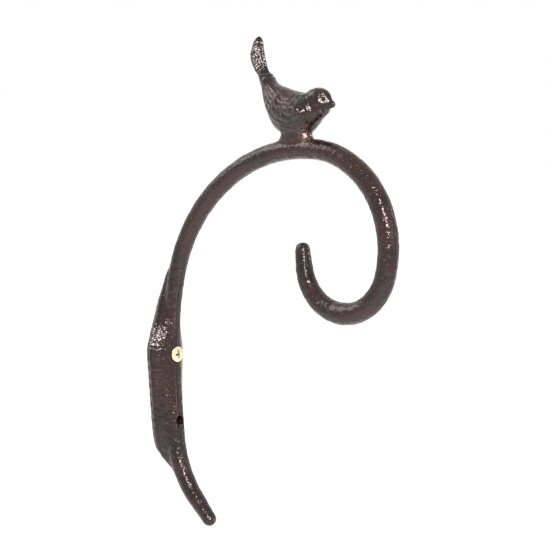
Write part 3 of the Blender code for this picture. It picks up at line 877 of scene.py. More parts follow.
@dataclass
class Bird:
    """Bird that perches on the crown with its tail cocked."""

    bar: Bar
    unevenness: CastUnevenness
    barbs: TailBarbs
    wear_shade_and_glint: LacquerWearShadeAndGlint
    length: float = 44.0 * MM
    height: float = 47.0 * MM
    width: float = 18.0 * MM
    perch_reach: float = 82.0 * MM
    perch_sink: float = 0.4 * MM
    keel: float = 0.22
    body: tuple[tuple[float, ...], ...] = (
        (-0.352, 0.640, -0.492, 0.620, 0.230),
        (-0.268, 0.545, -0.430, 0.475, 0.285),
        (-0.137, 0.500, -0.366, 0.281, 0.412),
        (-0.005, 0.464, -0.242, 0.099, 0.488),
        (0.100, 0.449, -0.010, 0.010, 0.495),
        (0.188, 0.446, 0.155, 0.052, 0.440),
        (0.284, 0.415, 0.286, 0.165, 0.345),
        (0.359, 0.361, 0.372, 0.236, 0.235),
    )
    throat: Pair = (0.400, 0.294)
    head: Pair = (0.284, 0.371)
    head_size: Triple = (14.8 * MM, 11.4 * MM, 11.5 * MM)
    ball_segments: int = 48
    ball_rings: int = 32
    beak_sections: tuple[Pair, ...] = (
        (0.0, 1.0), (0.25, 0.91), (0.45, 0.80), (0.65, 0.64), (0.8, 0.46), (0.93, 0.22),
    )
    beak_length: float = 5.4 * MM
    beak_width: float = 4.4 * MM
    beak_depth: float = 6.0 * MM
    beak_droop: float = math.radians(13.0)
    beak_sink: float = 3.0 * MM
    eye_diameter: float = 1.8 * MM
    eye_ahead: float = 5.4 * MM
    eye_above: float = 0.8 * MM
    eye_apart: float = 6.6 * MM
    blade: tuple[Triple, ...] = (
        (-0.330, 0.575, 0.62),
        (-0.418, 0.632, 0.86),
        (-0.473, 0.713, 1.05),
        (-0.505, 0.815, 1.10),
        (-0.507, 0.905, 0.76),
    )
    blade_tip: Pair = (-0.499, 1.000)
    blade_width: float = 8.0 * MM
    blade_thickness: float = 5.2 * MM
    blade_ridge: float = 0.85 * MM
    blade_drop: float = 0.35 * MM
    blade_groove: float = 0.07 * MM
    blade_feathers: int = 3
    blade_flat: float = 0.85
    blade_root_share: float = 0.4
    blade_point: float = 0.72
    blade_slope_step: float = 0.01
    blade_tip_rings: int = 10
    barb_root: Pair = (-0.340, 0.650)
    wings: tuple[WingLayer, ...] = (
        WingLayer(0.05, 0.66, math.radians(34.0), math.radians(108.0), 0.55, 7),
        WingLayer(0.33, 0.68, math.radians(40.0), math.radians(86.0), 0.95, 5),
        WingLayer(0.46, 0.71, math.radians(50.0), math.radians(62.0), 1.35, 3),
    )
    wing_rows: int = 60
    wing_columns: int = 72
    wing_tip_share: float = 0.24
    wing_nose_power: int = 4
    wing_scallop: float = 0.05
    wing_scallop_power: int = 3
    wing_brow: float = 0.4
    wing_fall: float = 0.5
    wing_relief: float = 0.9 * MM
    wing_groove: float = 0.5 * MM
    wing_tuck: float = 0.4 * MM
    wing_sink: float = 1.4 * MM
    saddle_length: float = 16.4 * MM
    saddle_foot_width: float = 8.4 * MM
    saddle_neck_width: float = 9.8 * MM
    saddle_fillet: float = 4.8 * MM
    saddle_sink: float = 0.35 * MM
    saddle_foot_depth: float = 2.8 * MM
    saddle_rise: float = 3.6 * MM
    saddle_top: Triple = (7.4 * MM, 17.0 * MM, 13.0 * MM)
    saddle_rings: int = 24
    stub_length: float = 19.0 * MM
    stub_fade: float = 4.0 * MM
    stub_proud: float = 0.04 * MM
    voxel: float = 0.25 * MM
    soft_rounds: int = 2
    sides: int = 72
    perch_height: float = field(init=False)

    def __post_init__(self) -> None:
        """Set the perch on the bar's upper side."""
        self.perch_height = self.bar.top_at(self.perch_reach) - self.perch_sink

    def point(self, along: float, above: float) -> Vector:
        """Return a point of the bird's middle plane from shares of its length and height."""
        reach = self.perch_reach + along * self.length
        return Vector((reach, 0.0, self.perch_height + above * self.height))

    def body_point(self, position: float, angle: float, lift: float = 0.0) -> Vector:
        """Return a point on the body's skin.

        Args:
            position: Place from the tail's root, 0, to the throat, 1.
            angle: Turn from the back line over the flank to the belly.
            lift: Distance out of the skin.

        Returns:
            The point.
        """
        back_x, back_z, belly_x, belly_z, width = curve_value(self.body, position)
        back, belly = self.point(back_x, back_z), self.point(belly_x, belly_z)
        centre, upwards = (back + belly) / 2, (back - belly) / 2
        half_width = width * self.width * (1 - self.keel * (1 - math.cos(angle)) / 2)
        place = centre + upwards * math.cos(angle) + SIDEWAYS * (half_width * math.sin(angle))
        outward = upwards * (math.cos(angle) / upwards.length_squared)
        outward = outward + SIDEWAYS * (math.sin(angle) / half_width)
        return place + outward.normalized() * lift

    def build_body(self) -> bpy.types.Object:
        """Build the body from the tail's root to the throat."""
        rings = [
            [self.body_point(k / self.sides, math.tau * i / self.sides) for i in range(self.sides)]
            for k in range(self.sides + 1)
        ]
        return loft("body", rings, None, self.point(*self.throat))

    def build_ball(self, name: str, centre: Vector, size: Sequence[float]) -> bpy.types.Object:
        """Build an ellipsoid.

        Args:
            name: Name of the new object.
            centre: Its centre.
            size: Its diameters along x, y and z.

        Returns:
            The ellipsoid.
        """
        bm = bmesh.new()
        bmesh.ops.create_uvsphere(
            bm, u_segments=self.ball_segments, v_segments=self.ball_rings, radius=0.5,
        )
        for vert in bm.verts:
            vert.co = centre + Vector([value * scale for value, scale in zip(vert.co, size)])
        return link_mesh(name, bm)

    def build_beak(self) -> bpy.types.Object:
        """Build the short beak, which leaves the head with a slight droop."""
        ahead = Vector((math.cos(self.beak_droop), 0.0, -math.sin(self.beak_droop)))
        upwards = Vector((math.sin(self.beak_droop), 0.0, math.cos(self.beak_droop)))
        root = self.point(*self.head) + ahead * (self.head_size[0] / 2 - self.beak_sink)
        rings = []
        for along, size in self.beak_sections:
            middle = root + ahead * (self.beak_length * along)
            rings.append([
                middle
                + SIDEWAYS * (self.beak_width / 2 * cos * size)
                + upwards * (self.beak_depth / 2 * sin * size)
                for cos, sin in around(self.sides)
            ])
        return loft("beak", rings, None, root + ahead * self.beak_length)

    def blade_ring(self, position: float) -> Ring:
        """Draw the tail blade's section, a low roof with feather grooves.

        Args:
            position: Place from the tail's root, 0, to its tip, 1.

        Returns:
            The points of the section.
        """
        along, above, width = curve_value(self.blade, position)
        near = Vector(curve_value(self.blade, position - self.blade_slope_step)[:2])
        far = Vector(curve_value(self.blade, position + self.blade_slope_step)[:2])
        ahead = self.point(*far) - self.point(*near)
        front = Vector((ahead.z, 0.0, -ahead.x)).normalized()
        centre = self.point(along, above)
        ring = []
        for k in range(2 * self.sides):
            angle = math.pi * k / self.sides
            side = math.cos(angle)
            level = width * self.blade_thickness / 2 * math.sin(angle)
            if level > 0:
                grown = min(position / self.blade_root_share, 1.0)
                flat = (1 - abs(side)) / max(math.sin(angle), LEAST_SHARE)
                level *= mix(1.0, flat, self.blade_flat * grown)
                roof = self.blade_ridge * grown * (1 - abs(side))
                groove = self.blade_groove * math.cos(math.tau * self.blade_feathers * abs(side))
                level += (roof + groove) * math.sin(angle)
            level -= self.blade_drop * abs(side)
            ring.append(centre + SIDEWAYS * (width * self.blade_width / 2 * side) + front * level)
        return ring

    def build_blade(self) -> bpy.types.Object:
        """Build the cocked tail."""
        rings = [self.blade_ring(k / self.sides) for k in range(self.sides + 1)]
        tip = self.point(*self.blade_tip)
        end_ring = rings[-1]
        middle = sum(end_ring, Vector()) / len(end_ring)
        for k in range(1, self.blade_tip_rings):
            share = math.sin(math.pi / 2 * k / self.blade_tip_rings)
            size = (1 - share ** 2) ** self.blade_point
            centre = middle.lerp(tip, share)
            rings.append([centre + (place - middle) * size for place in end_ring])
        return loft("blade", rings, None, tip)

    def wing_point(
        self, layer: WingLayer, along: float, across: float, side: int, sunk: bool,
    ) -> Vector:
        """Return a point of a wing layer.

        Args:
            layer: The layer.
            along: Place from its tip, 0, to its front, 1.
            across: Place down the flank, from 0 to 1.
            side: Side of the bird, -1 or 1.
            sunk: Whether the point is on the inner face, inside the body.

        Returns:
            The point.
        """
        share = self.wing_tip_share
        fullness = math.sin(math.pi / 2 * min(along / share, 1.0))
        nose = math.sqrt(1 - max(2 * along - 1, 0.0) ** self.wing_nose_power * (1 - share))
        span = layer.span * mix(share, 1.0, fullness) * nose
        drop = (layer.span - span) * mix(share, 1.0, along) / 2
        angle = layer.top + drop + span * across
        groove = 1 - abs(math.sin(math.pi * layer.feathers * across))
        scallop = self.wing_scallop * groove * (1 - along) ** self.wing_scallop_power
        position = mix(layer.start, layer.end, along) + scallop
        if sunk:
            return self.body_point(position, side * angle, -self.wing_sink)
        brow = max(math.sin(math.pi * across), 0.0) ** self.wing_brow
        fall = min(1.0, (1 - along) / share) ** self.wing_fall
        crest = self.wing_relief * layer.relief - self.wing_groove * groove
        return self.body_point(position, side * angle, mix(-self.wing_tuck, crest, brow * fall))

    def build_wing(self, layer: WingLayer, side: int) -> bpy.types.Object:
        """Build one closed layer of the wing on one side, -1 or 1, sunk in the flank."""
        rows, columns = self.wing_rows, self.wing_columns
        bm = bmesh.new()
        grids = [
            [
                [
                    bm.verts.new(self.wing_point(layer, row / rows, column / columns, side, sunk))
                    for column in range(columns + 1)
                ]
                for row in range(rows + 1)
            ]
            for sunk in (False, True)
        ]
        outer, inner = grids
        for grid in grids:
            for row in range(rows):
                for column in range(columns):
                    bm.faces.new((
                        grid[row][column], grid[row][column + 1],
                        grid[row + 1][column + 1], grid[row + 1][column],
                    ))
        border = [(row, 0) for row in range(rows)]
        border += [(rows, column) for column in range(columns)]
        border += [(row, columns) for row in range(rows, 0, -1)]
        border += [(0, column) for column in range(columns, 0, -1)]
        for (row, column), (next_row, next_column) in zip(border, border[1:] + border[:1]):
            bm.faces.new((
                outer[row][column], outer[next_row][next_column],
                inner[next_row][next_column], inner[row][column],
            ))
        return link_mesh("wing", bm)

    def build_saddle(self) -> bpy.types.Object:
        """Build the flared neck that blends the belly into the bar."""
        foot = self.saddle_length + 2 * self.saddle_fillet
        sizes = [(-self.saddle_foot_depth, foot, self.saddle_foot_width)]
        for k in range(self.saddle_rings + 1):
            angle = math.pi / 2 * k / self.saddle_rings
            sizes.append((
                self.saddle_rise * (1 - math.cos(angle)) - self.saddle_sink,
                mix(foot, self.saddle_length, math.sin(angle)),
                mix(self.saddle_foot_width, self.saddle_neck_width, k / self.saddle_rings),
            ))
        sizes.append(self.saddle_top)
        crown = self.bar.upper[self.bar.crown_run].radius
        rings = []
        for rise, length, width in sizes:
            ring = []
            for cos, sin in around(self.sides):
                out = length / 2 * cos
                drop = crown - math.sqrt(crown ** 2 - out ** 2)
                height = self.perch_height + rise - drop
                ring.append(Vector((self.perch_reach + out, width / 2 * sin, height)))
            rings.append(ring)
        return loft("saddle", rings)

    def build(self, low: Vector, high: Vector) -> bpy.types.Object:
        """Build the bird with the stretch of bar that it stands on.

        Args:
            low: Lowest corner of the CAD casting.
            high: Highest corner of the CAD casting.

        Returns:
            The piece.
        """
        head, reach = self.point(*self.head), self.perch_reach
        forms = [
            self.build_body(),
            self.build_ball("head", head, self.head_size),
            self.build_beak(),
            self.build_blade(),
            self.build_saddle(),
            self.bar.build_stub(reach, self.stub_length, self.stub_fade, self.stub_proud),
        ]
        for side in (-1, 1):
            eye = head + Vector((self.eye_ahead, side * self.eye_apart / 2, self.eye_above))
            forms.append(self.build_ball("eye", eye, (self.eye_diameter,) * 3))
            forms += [self.build_wing(layer, side) for layer in self.wings]
        item = fuse("bracket_bird", forms, self.voxel, self.soft_rounds)
        self.wear_shade_and_glint.mark(item)
        self.barbs.shape(item, self.point(*self.barb_root), self.point(*self.blade_tip))
        self.unevenness.shape(item, low, high)
        item.data.shade_smooth()
        return item


@dataclass
class WoodScrew:
    """Brass wood screw with a raised countersunk head, a cross recess and a rolled thread."""

    plate: WallPlate
    length: float = 19.0 * MM
    head_diameter: float = 7.6 * MM
    head_edge: float = 0.35 * MM
    head_dome: float = 0.55 * MM
    shank_diameter: float = 3.5 * MM
    core_diameter: float = 2.5 * MM
    point_length: float = 4.2 * MM
    point_diameter: float = 0.5 * MM
    seat_gap: float = 0.3 * MM
    thread_pitch: float = 1.6 * MM
    thread_start: float = 6.0 * MM
    thread_steps: int = 16
    thread_sharpness: float = 5.0
    dome_rings: int = 12
    cross_length: float = 4.2 * MM
    cross_width: float = 0.9 * MM
    cross_depth: float = 1.5 * MM
    cross_bottom: float = 0.45
    cross_turn: float = math.radians(9.0)
    # Mask and depth of the painted shade inside the cross recess.
    recess_shade_name: str = "recess_shade"
    recess_shade_depth: float = 0.25 * MM
    sharp_angle: float = math.radians(35.0)
    sides: int = 96

    def edge(self) -> float:
        """Return the distance from the wall to the underside edge of the head."""
        land = self.plate.land_front(self.plate.hole_spacing / 2)
        overhang = (self.head_diameter - self.plate.seat_diameter) / 2
        return land + overhang + self.seat_gap * math.sqrt(2)

    def profile(self) -> list[Pair]:
        """Draw the screw's outline without its thread.

        Returns:
            Points from the tip to the head's dome, as distances from the wall and radii.
        """
        edge = self.edge()
        head, shank = self.head_diameter / 2, self.shank_diameter / 2
        crown = edge + self.head_edge
        tip = crown + self.head_dome - self.length
        shank_end = crown - self.thread_start
        pairs = [(tip, self.point_diameter / 2)]
        steps = math.ceil((shank_end - tip) / (self.thread_pitch / self.thread_steps))
        point, core = self.point_diameter / 2, self.core_diameter / 2
        for k in range(1, steps + 1):
            out = mix(tip, shank_end, k / steps)
            pairs.append((out, min(core, mix(point, core, (out - tip) / self.point_length))))
        dome = head - self.head_edge / 5
        pairs += [
            (shank_end + self.head_edge, shank),
            (edge - (head - shank), shank),
            (edge - self.head_edge / 4, head - self.head_edge / 4),
            (edge, head),
            (crown - self.head_edge / 3, head),
            (crown, dome),
        ]
        for k in range(1, self.dome_rings):
            angle = math.pi / 2 * k / self.dome_rings
            pairs.append((crown + self.head_dome * math.sin(angle), dome * math.cos(angle)))
        return pairs

    def build_arm(self, turn: float, apex: Vector) -> bpy.types.Object:
        """Build the cutter of one arm of the cross recess.

        Args:
            turn: The arm's turn about the screw's axis.
            apex: Top of the head's dome.

        Returns:
            The cutter.
        """
        along = Vector((0.0, math.cos(turn), math.sin(turn)))
        across = Vector((0.0, -math.sin(turn), math.cos(turn)))
        rings = []
        for depth, share in (
            (self.cross_depth, self.cross_bottom), (0.0, 1.0), (-self.head_dome, 1.0),
        ):
            middle = apex - Vector((depth, 0.0, 0.0))
            length = along * (self.cross_length / 2 * share)
            width = across * (self.cross_width / 2 * mix(share, 1.0, self.cross_bottom))
            rings.append([
                middle - length - width, middle + length - width,
                middle + length + width, middle - length + width,
            ])
        return loft("cross", rings)

    def mark_recess_shade(self, item: bpy.types.Object) -> None:
        """Keep how far each point of the head lies below the dome inside the cross recess, as a
        mask of painted shade.
        """
        places, _ = mesh_arrays(item)
        off = np.hypot(places[:, 1], places[:, 2] - self.plate.hole_spacing / 2)
        crown = self.edge() + self.head_edge
        share = np.clip(off / (self.head_diameter / 2), 0.0, 1.0)
        depth = crown + self.head_dome * np.sqrt(1 - share ** 2) - places[:, 0]
        inside = off < self.cross_length / 2 + self.recess_shade_depth
        recess_shade = np.where(inside, np.clip(depth / self.recess_shade_depth, 0.0, 1.0), 0.0)
        keep_values(item, self.recess_shade_name, recess_shade)

    def build(self) -> bpy.types.Object:
        """Build the screw with its thread and its recess."""
        height = self.plate.hole_spacing / 2
        profile = self.profile()
        tip = profile[0][0]
        shank_end = self.edge() + self.head_edge - self.thread_start
        thread = (self.shank_diameter - self.core_diameter) / 2
        rings = []
        for out, radius in profile:
            grown = min((out - tip) / self.point_length, (shank_end - out) / self.thread_pitch, 1.0)
            ring = []
            for k, (cos, sin) in enumerate(around(self.sides)):
                phase = ((out - tip) / self.thread_pitch - k / self.sides) % 1.0
                crest = max(0.0, 1 - abs(phase - 0.5) * self.thread_sharpness)
                reach = radius + thread * crest * max(grown, 0.0)
                ring.append(Vector((out, reach * cos, height + reach * sin)))
            rings.append(ring)
        apex = Vector((self.edge() + self.head_edge + self.head_dome, 0.0, height))
        item = loft("wood_screw_brass", rings, None, apex)
        cut(item, [self.build_arm(self.cross_turn + k * math.pi / 2, apex) for k in range(2)])
        self.mark_recess_shade(item)
        shade(item, self.sharp_angle)
        return item


@dataclass(frozen=True)
class Waves:
    """Noise pattern: its wavelength, its number of finer octaves and how strong each is."""

    length: float
    octaves: float
    strength: float


class Nodes:
    """Short calls to lay out nodes in one tree."""

    def __init__(self, tree: bpy.types.NodeTree) -> None:
        """Keep the tree that the nodes go into."""
        self.tree = tree

    def feed(self, node: bpy.types.Node, feeds: Mapping[str | int, object]) -> None:
        """Link or set some inputs of a node.

        Args:
            node: The node.
            feeds: For each input's name or number, the socket that is linked to it or its value.
        """
        for key, value in feeds.items():
            if isinstance(value, bpy.types.NodeSocket):
                self.tree.links.new(value, node.inputs[key])
            else:
                node.inputs[key].default_value = value

    def add(
        self, kind: str, feeds: Mapping[str | int, object] | None = None, **settings: object,
    ) -> bpy.types.Node:
        """Add a node.

        Args:
            kind: Blender's type name of the node.
            feeds: Sockets and values for its inputs.
            **settings: Attributes to set on it.

        Returns:
            The node.
        """
        node = self.tree.nodes.new(kind)
        for name, value in settings.items():
            setattr(node, name, value)
        self.feed(node, feeds or {})
        return node

    def math(self, operation: str, first: object, second: object = 0.0) -> bpy.types.NodeSocket:
        """Add a Math node on sockets or numbers and return its output."""
        return self.add("ShaderNodeMath", {0: first, 1: second}, operation=operation).outputs[0]

    def noise(self, place: bpy.types.NodeSocket, waves: Waves) -> bpy.types.NodeSocket:
        """Add a noise pattern at a place in metres and return its output."""
        feeds = {
            "Vector": place,
            "Scale": 1.0 / waves.length,
            "Detail": waves.octaves,
            "Roughness": waves.strength,
        }
        return self.add("ShaderNodeTexNoise", feeds, noise_dimensions="3D").outputs["Fac"]

    def ramp(
        self, value: bpy.types.NodeSocket, given: Pair, result: Pair = WHOLE,
    ) -> bpy.types.NodeSocket:
        """Add a smooth step.

        Args:
            value: The socket that it reads.
            given: The values between which it changes.
            result: What it gives at each of them.

        Returns:
            Its output.
        """
        feeds = {
            "Value": value,
            "From Min": given[0],
            "From Max": given[1],
            "To Min": result[0],
            "To Max": result[1],
        }
        node = self.add("ShaderNodeMapRange", feeds, interpolation_type="SMOOTHSTEP")
        return node.outputs["Result"]

    def blend(self, mask: object, first: object, second: object) -> bpy.types.NodeSocket:
        """Add a colour mix by a mask and return its output."""
        feeds = {MIX_MASK: mask, MIX_FIRST: first, MIX_SECOND: second}
        return self.add("ShaderNodeMix", feeds, data_type="RGBA").outputs[MIX_RESULT]

    def kept(self, name: str) -> bpy.types.NodeSocket:
        """Return the values that a piece's points keep under a name."""
        return self.add("ShaderNodeAttribute", attribute_name=name).outputs["Fac"]

    def bump(self, height: bpy.types.NodeSocket) -> bpy.types.NodeSocket:
        """Add a bump of a height in millimetres and return its normal."""
        return self.add("ShaderNodeBump", {"Height": height, "Distance": MM}).outputs["Normal"]


PEEL_WAVES = Waves(1.5 * MM, 1.0, 0.5)
GRAIN_WAVES = Waves(0.62 * MM, 2.0, 0.6)
PIT_WAVES = Waves(0.9 * MM, 1.0, 0.4)
PIT_STEP = (0.62, 0.74)
STAIN_WAVES = Waves(14.0 * MM, 3.0, 0.55)
STAIN_STEP = (0.38, 0.62)
SPECKLE_WAVES = Waves(0.5 * MM, 1.0, 0.5)
SPECKLE_STEP = (0.45, 0.65)
WANDER_WAVES = Waves(12.0 * MM, 2.0, 0.5)
PATCH_WAVES = Waves(7.0 * MM, 1.0, 0.5)
PATCH_STEP = (0.35, 0.6)
NOISE_MEAN = 0.5
FLASH_WANDER = 0.6 * MM
FLASH_HALF_WIDTH = 0.3 * MM


class Effect(Enum):
    """Shader effects that more than one finish uses."""

    CAST_SKIN = "cast skin"
    FLASH_LINE = "flash line"


def new_group(
    effect: Effect, inputs: Sequence[str], outputs: Sequence[str],
) -> tuple[Nodes, bpy.types.Node, bpy.types.Node]:
    """Make a shader group whose sockets are all floats.

    Args:
        effect: The effect that it is made for.
        inputs: Names of its inputs.
        outputs: Names of its outputs.

    Returns:
        The group's nodes, the node of its inputs and the node of its outputs.
    """
    tree = bpy.data.node_groups.new(effect.value, "ShaderNodeTree")
    for in_out, labels in (("INPUT", inputs), ("OUTPUT", outputs)):
        for label in labels:
            tree.interface.new_socket(label, in_out=in_out, socket_type="NodeSocketFloat")
    nodes = Nodes(tree)
    return nodes, nodes.add("NodeGroupInput"), nodes.add("NodeGroupOutput")


def build_cast_skin() -> bpy.types.NodeTree:
    """Build the lacquered sand-cast skin: orange peel, grains, pits, slow stains and speckles.

    Returns:
        A group that puts out a height in millimetres and masks of its stains and speckles.
    """
    nodes, given, put = new_group(
        Effect.CAST_SKIN, ("Peel", "Grain", "Pits"), ("Height", "Stain", "Speckle"),
    )
    place = nodes.add("ShaderNodeTexCoord").outputs["Object"]
    peel_height, grain_height, pit_height = (
        nodes.math("MULTIPLY", pattern, given.outputs[label])
        for label, pattern in (
            ("Peel", nodes.noise(place, PEEL_WAVES)),
            ("Grain", nodes.noise(place, GRAIN_WAVES)),
            ("Pits", nodes.ramp(nodes.noise(place, PIT_WAVES), PIT_STEP)),
        )
    )
    raised = nodes.math("ADD", peel_height, grain_height)
    nodes.feed(put, {
        "Height": nodes.math("SUBTRACT", raised, pit_height),
        "Stain": nodes.ramp(nodes.noise(place, STAIN_WAVES), STAIN_STEP),
        "Speckle": nodes.ramp(nodes.noise(place, SPECKLE_WAVES), SPECKLE_STEP),
    })
    return nodes.tree


def build_flash_line() -> bpy.types.NodeTree:
    """Build the thin raised line where the two halves of the mould met.

    Returns:
        A group that puts out the line's height in millimetres.
    """
    nodes, given, put = new_group(Effect.FLASH_LINE, ("Rise",), ("Height",))
    place = nodes.add("ShaderNodeTexCoord").outputs["Object"]
    parts = nodes.add("ShaderNodeSeparateXYZ", {0: place})
    swing = nodes.math("SUBTRACT", nodes.noise(place, WANDER_WAVES), NOISE_MEAN)
    wander = nodes.math("MULTIPLY", swing, FLASH_WANDER)
    off = nodes.math("ABSOLUTE", nodes.math("ADD", parts.outputs["Y"], wander))
    near = nodes.math("SUBTRACT", 1.0, nodes.math("DIVIDE", off, FLASH_HALF_WIDTH))
    patchy = nodes.ramp(nodes.noise(place, PATCH_WAVES), PATCH_STEP)
    rise = nodes.math("MULTIPLY", given.outputs["Rise"], patchy)
    line = nodes.math("MAXIMUM", near, 0.0)
    nodes.feed(put, {"Height": nodes.math("MULTIPLY", line, rise)})
    return nodes.tree


GROUP_BUILDERS: dict[Effect, Callable[[], bpy.types.NodeTree]] = {
    Effect.CAST_SKIN: build_cast_skin,
    Effect.FLASH_LINE: build_flash_line,
}


def effect_node(nodes: Nodes, effect: Effect, feeds: Mapping[str, float]) -> bpy.types.Node:
    """Place a shared effect in a material, and make its group if it is the first to use it.

    Args:
        nodes: The material's nodes.
        effect: Which effect.
        feeds: Values of its inputs.

    Returns:
        The group node.
    """
    tree = bpy.data.node_groups.get(effect.value) or GROUP_BUILDERS[effect]()
    return nodes.add("ShaderNodeGroup", feeds, node_tree=tree)


def new_material(name: str) -> tuple[bpy.types.Material, Nodes, bpy.types.Node]:
    """Make a material and return it with its nodes and its Principled shader."""
    material = bpy.data.materials.new(name)
    material.use_nodes = True
    return material, Nodes(material.node_tree), material.node_tree.nodes["Principled BSDF"]


@dataclass(frozen=True)
class Grit:
    """How coarse a skin is: its heights in millimetres, and its least and greatest roughness."""

    peel: float
    grain: float
    pits: float
    rough: Pair

    def place(self, nodes: Nodes) -> bpy.types.Node:
        """Place the shared skin in a material."""
        feeds = {"Peel": self.peel, "Grain": self.grain, "Pits": self.pits}
        return effect_node(nodes, Effect.CAST_SKIN, feeds)

    def roughness(self, nodes: Nodes, skin: bpy.types.Node) -> bpy.types.NodeSocket:
        """Return the roughness, which follows the skin's speckles."""
        return nodes.ramp(skin.outputs["Speckle"], WHOLE, self.rough)


@dataclass(frozen=True)
class LacqueredIron:
    """Thin brown-black lacquer over rough cast iron."""

    wear_shade_and_glint: LacquerWearShadeAndGlint
    name: str = "lacquered_iron"
    dark: Colour = (0.003, 0.003, 0.002, 1.0)
    warm: Colour = (0.022, 0.006, 0.005, 1.0)
    worn: Colour = (0.045, 0.030, 0.027, 1.0)
    # Near-black painted shade for grooves and creases.
    painted_groove_shade: Colour = (0.002, 0.002, 0.001, 1.0)
    bared: Colour = (0.16, 0.125, 0.115, 1.0)
    # Bronze of the spots that are part wear and part painted glint.
    wear_and_glint_bronze: Colour = (0.45, 0.28, 0.18, 1.0)
    tint: Colour = (1.0, 0.85, 0.82, 1.0)
    worn_share: float = 0.16
    ridge_share: float = 0.75
    ridge_relief: Pair = (0.35, 1.3)
    groove_shade_share: float = 0.9
    groove_shade_relief: Pair = (-0.25, -1.0)
    specular: float = 0.48
    grit: Grit = Grit(0.30, 0.06, 0.12, (0.10, 0.20))
    flash: float = 0.30

    def colour(self, nodes: Nodes, skin: bpy.types.Node) -> bpy.types.NodeSocket:
        """Lay the lacquer's stains, worn flecks, painted shade in grooves, worn ridges and spots of
        bronze wear and painted glint over each other.

        Args:
            nodes: The material's nodes.
            skin: The cast skin's group node.

        Returns:
            The colour.
        """
        speckle = skin.outputs["Speckle"]
        relief = nodes.kept(self.wear_shade_and_glint.relief_name)
        colour = nodes.blend(skin.outputs["Stain"], self.dark, self.warm)
        for mask, share, over in (
            (speckle, self.worn_share, self.worn),
            # Painted shade: grooves are darkened as if shade lies in them.
            (nodes.ramp(relief, self.groove_shade_relief), self.groove_shade_share, self.painted_groove_shade),
            (nodes.ramp(relief, self.ridge_relief), self.ridge_share, self.bared),
            # Painted glint: speckled bronze spots at the base fillet and on the lower hole's lip.
            (nodes.kept(self.wear_shade_and_glint.wear_and_glint_name), speckle, self.wear_and_glint_bronze),
        ):
            colour = nodes.blend(nodes.math("MULTIPLY", mask, share), colour, over)
        return colour

    def build(self) -> bpy.types.Material:
        """Build the material."""
        material, nodes, shader = new_material(self.name)
        skin = self.grit.place(nodes)
        line = effect_node(nodes, Effect.FLASH_LINE, {"Rise": self.flash})
        height = nodes.math("ADD", skin.outputs["Height"], line.outputs["Height"])
        nodes.feed(shader, {
            "Base Color": self.colour(nodes, skin),
            "Roughness": self.grit.roughness(nodes, skin),
            "Normal": nodes.bump(height),
            "Specular IOR Level": self.specular,
            "Specular Tint": self.tint,
        })
        return material


@dataclass(frozen=True)
class ScrewBrass:
    """Bright brass of the screw, dulled in specks, with painted shade in the cross recess, where it
    turns near-black and stops being metal.
    """

    recess_shade_name: str
    name: str = "bright_brass"
    bright: Colour = (0.94, 0.84, 0.58, 1.0)
    dull: Colour = (0.78, 0.62, 0.34, 1.0)
    recess_shade_colour: Colour = (0.015, 0.010, 0.006, 1.0)
    dull_share: float = 0.5
    grit: Grit = Grit(0.006, 0.003, 0.002, (0.18, 0.34))

    def build(self) -> bpy.types.Material:
        """Build the material."""
        material, nodes, shader = new_material(self.name)
        skin = self.grit.place(nodes)
        # Painted shade: the cross recess is coloured near-black and made non-metallic, standing in
        # for the shade inside it.
        recess_shade = nodes.kept(self.recess_shade_name)
        tarnish = nodes.math("MULTIPLY", skin.outputs["Speckle"], self.dull_share)
        brass = nodes.blend(tarnish, self.bright, self.dull)
        nodes.feed(shader, {
            "Base Color": nodes.blend(recess_shade, brass, self.recess_shade_colour),
            "Metallic": nodes.math("SUBTRACT", 1.0, recess_shade),
            "Roughness": self.grit.roughness(nodes, skin),
            "Normal": nodes.bump(skin.outputs["Height"]),
        })
        return material


@dataclass(frozen=True)
class Lamp:
    """One soft area lamp, aimed at the object."""

    name: str
    direction: Triple
    size: float
    power: float


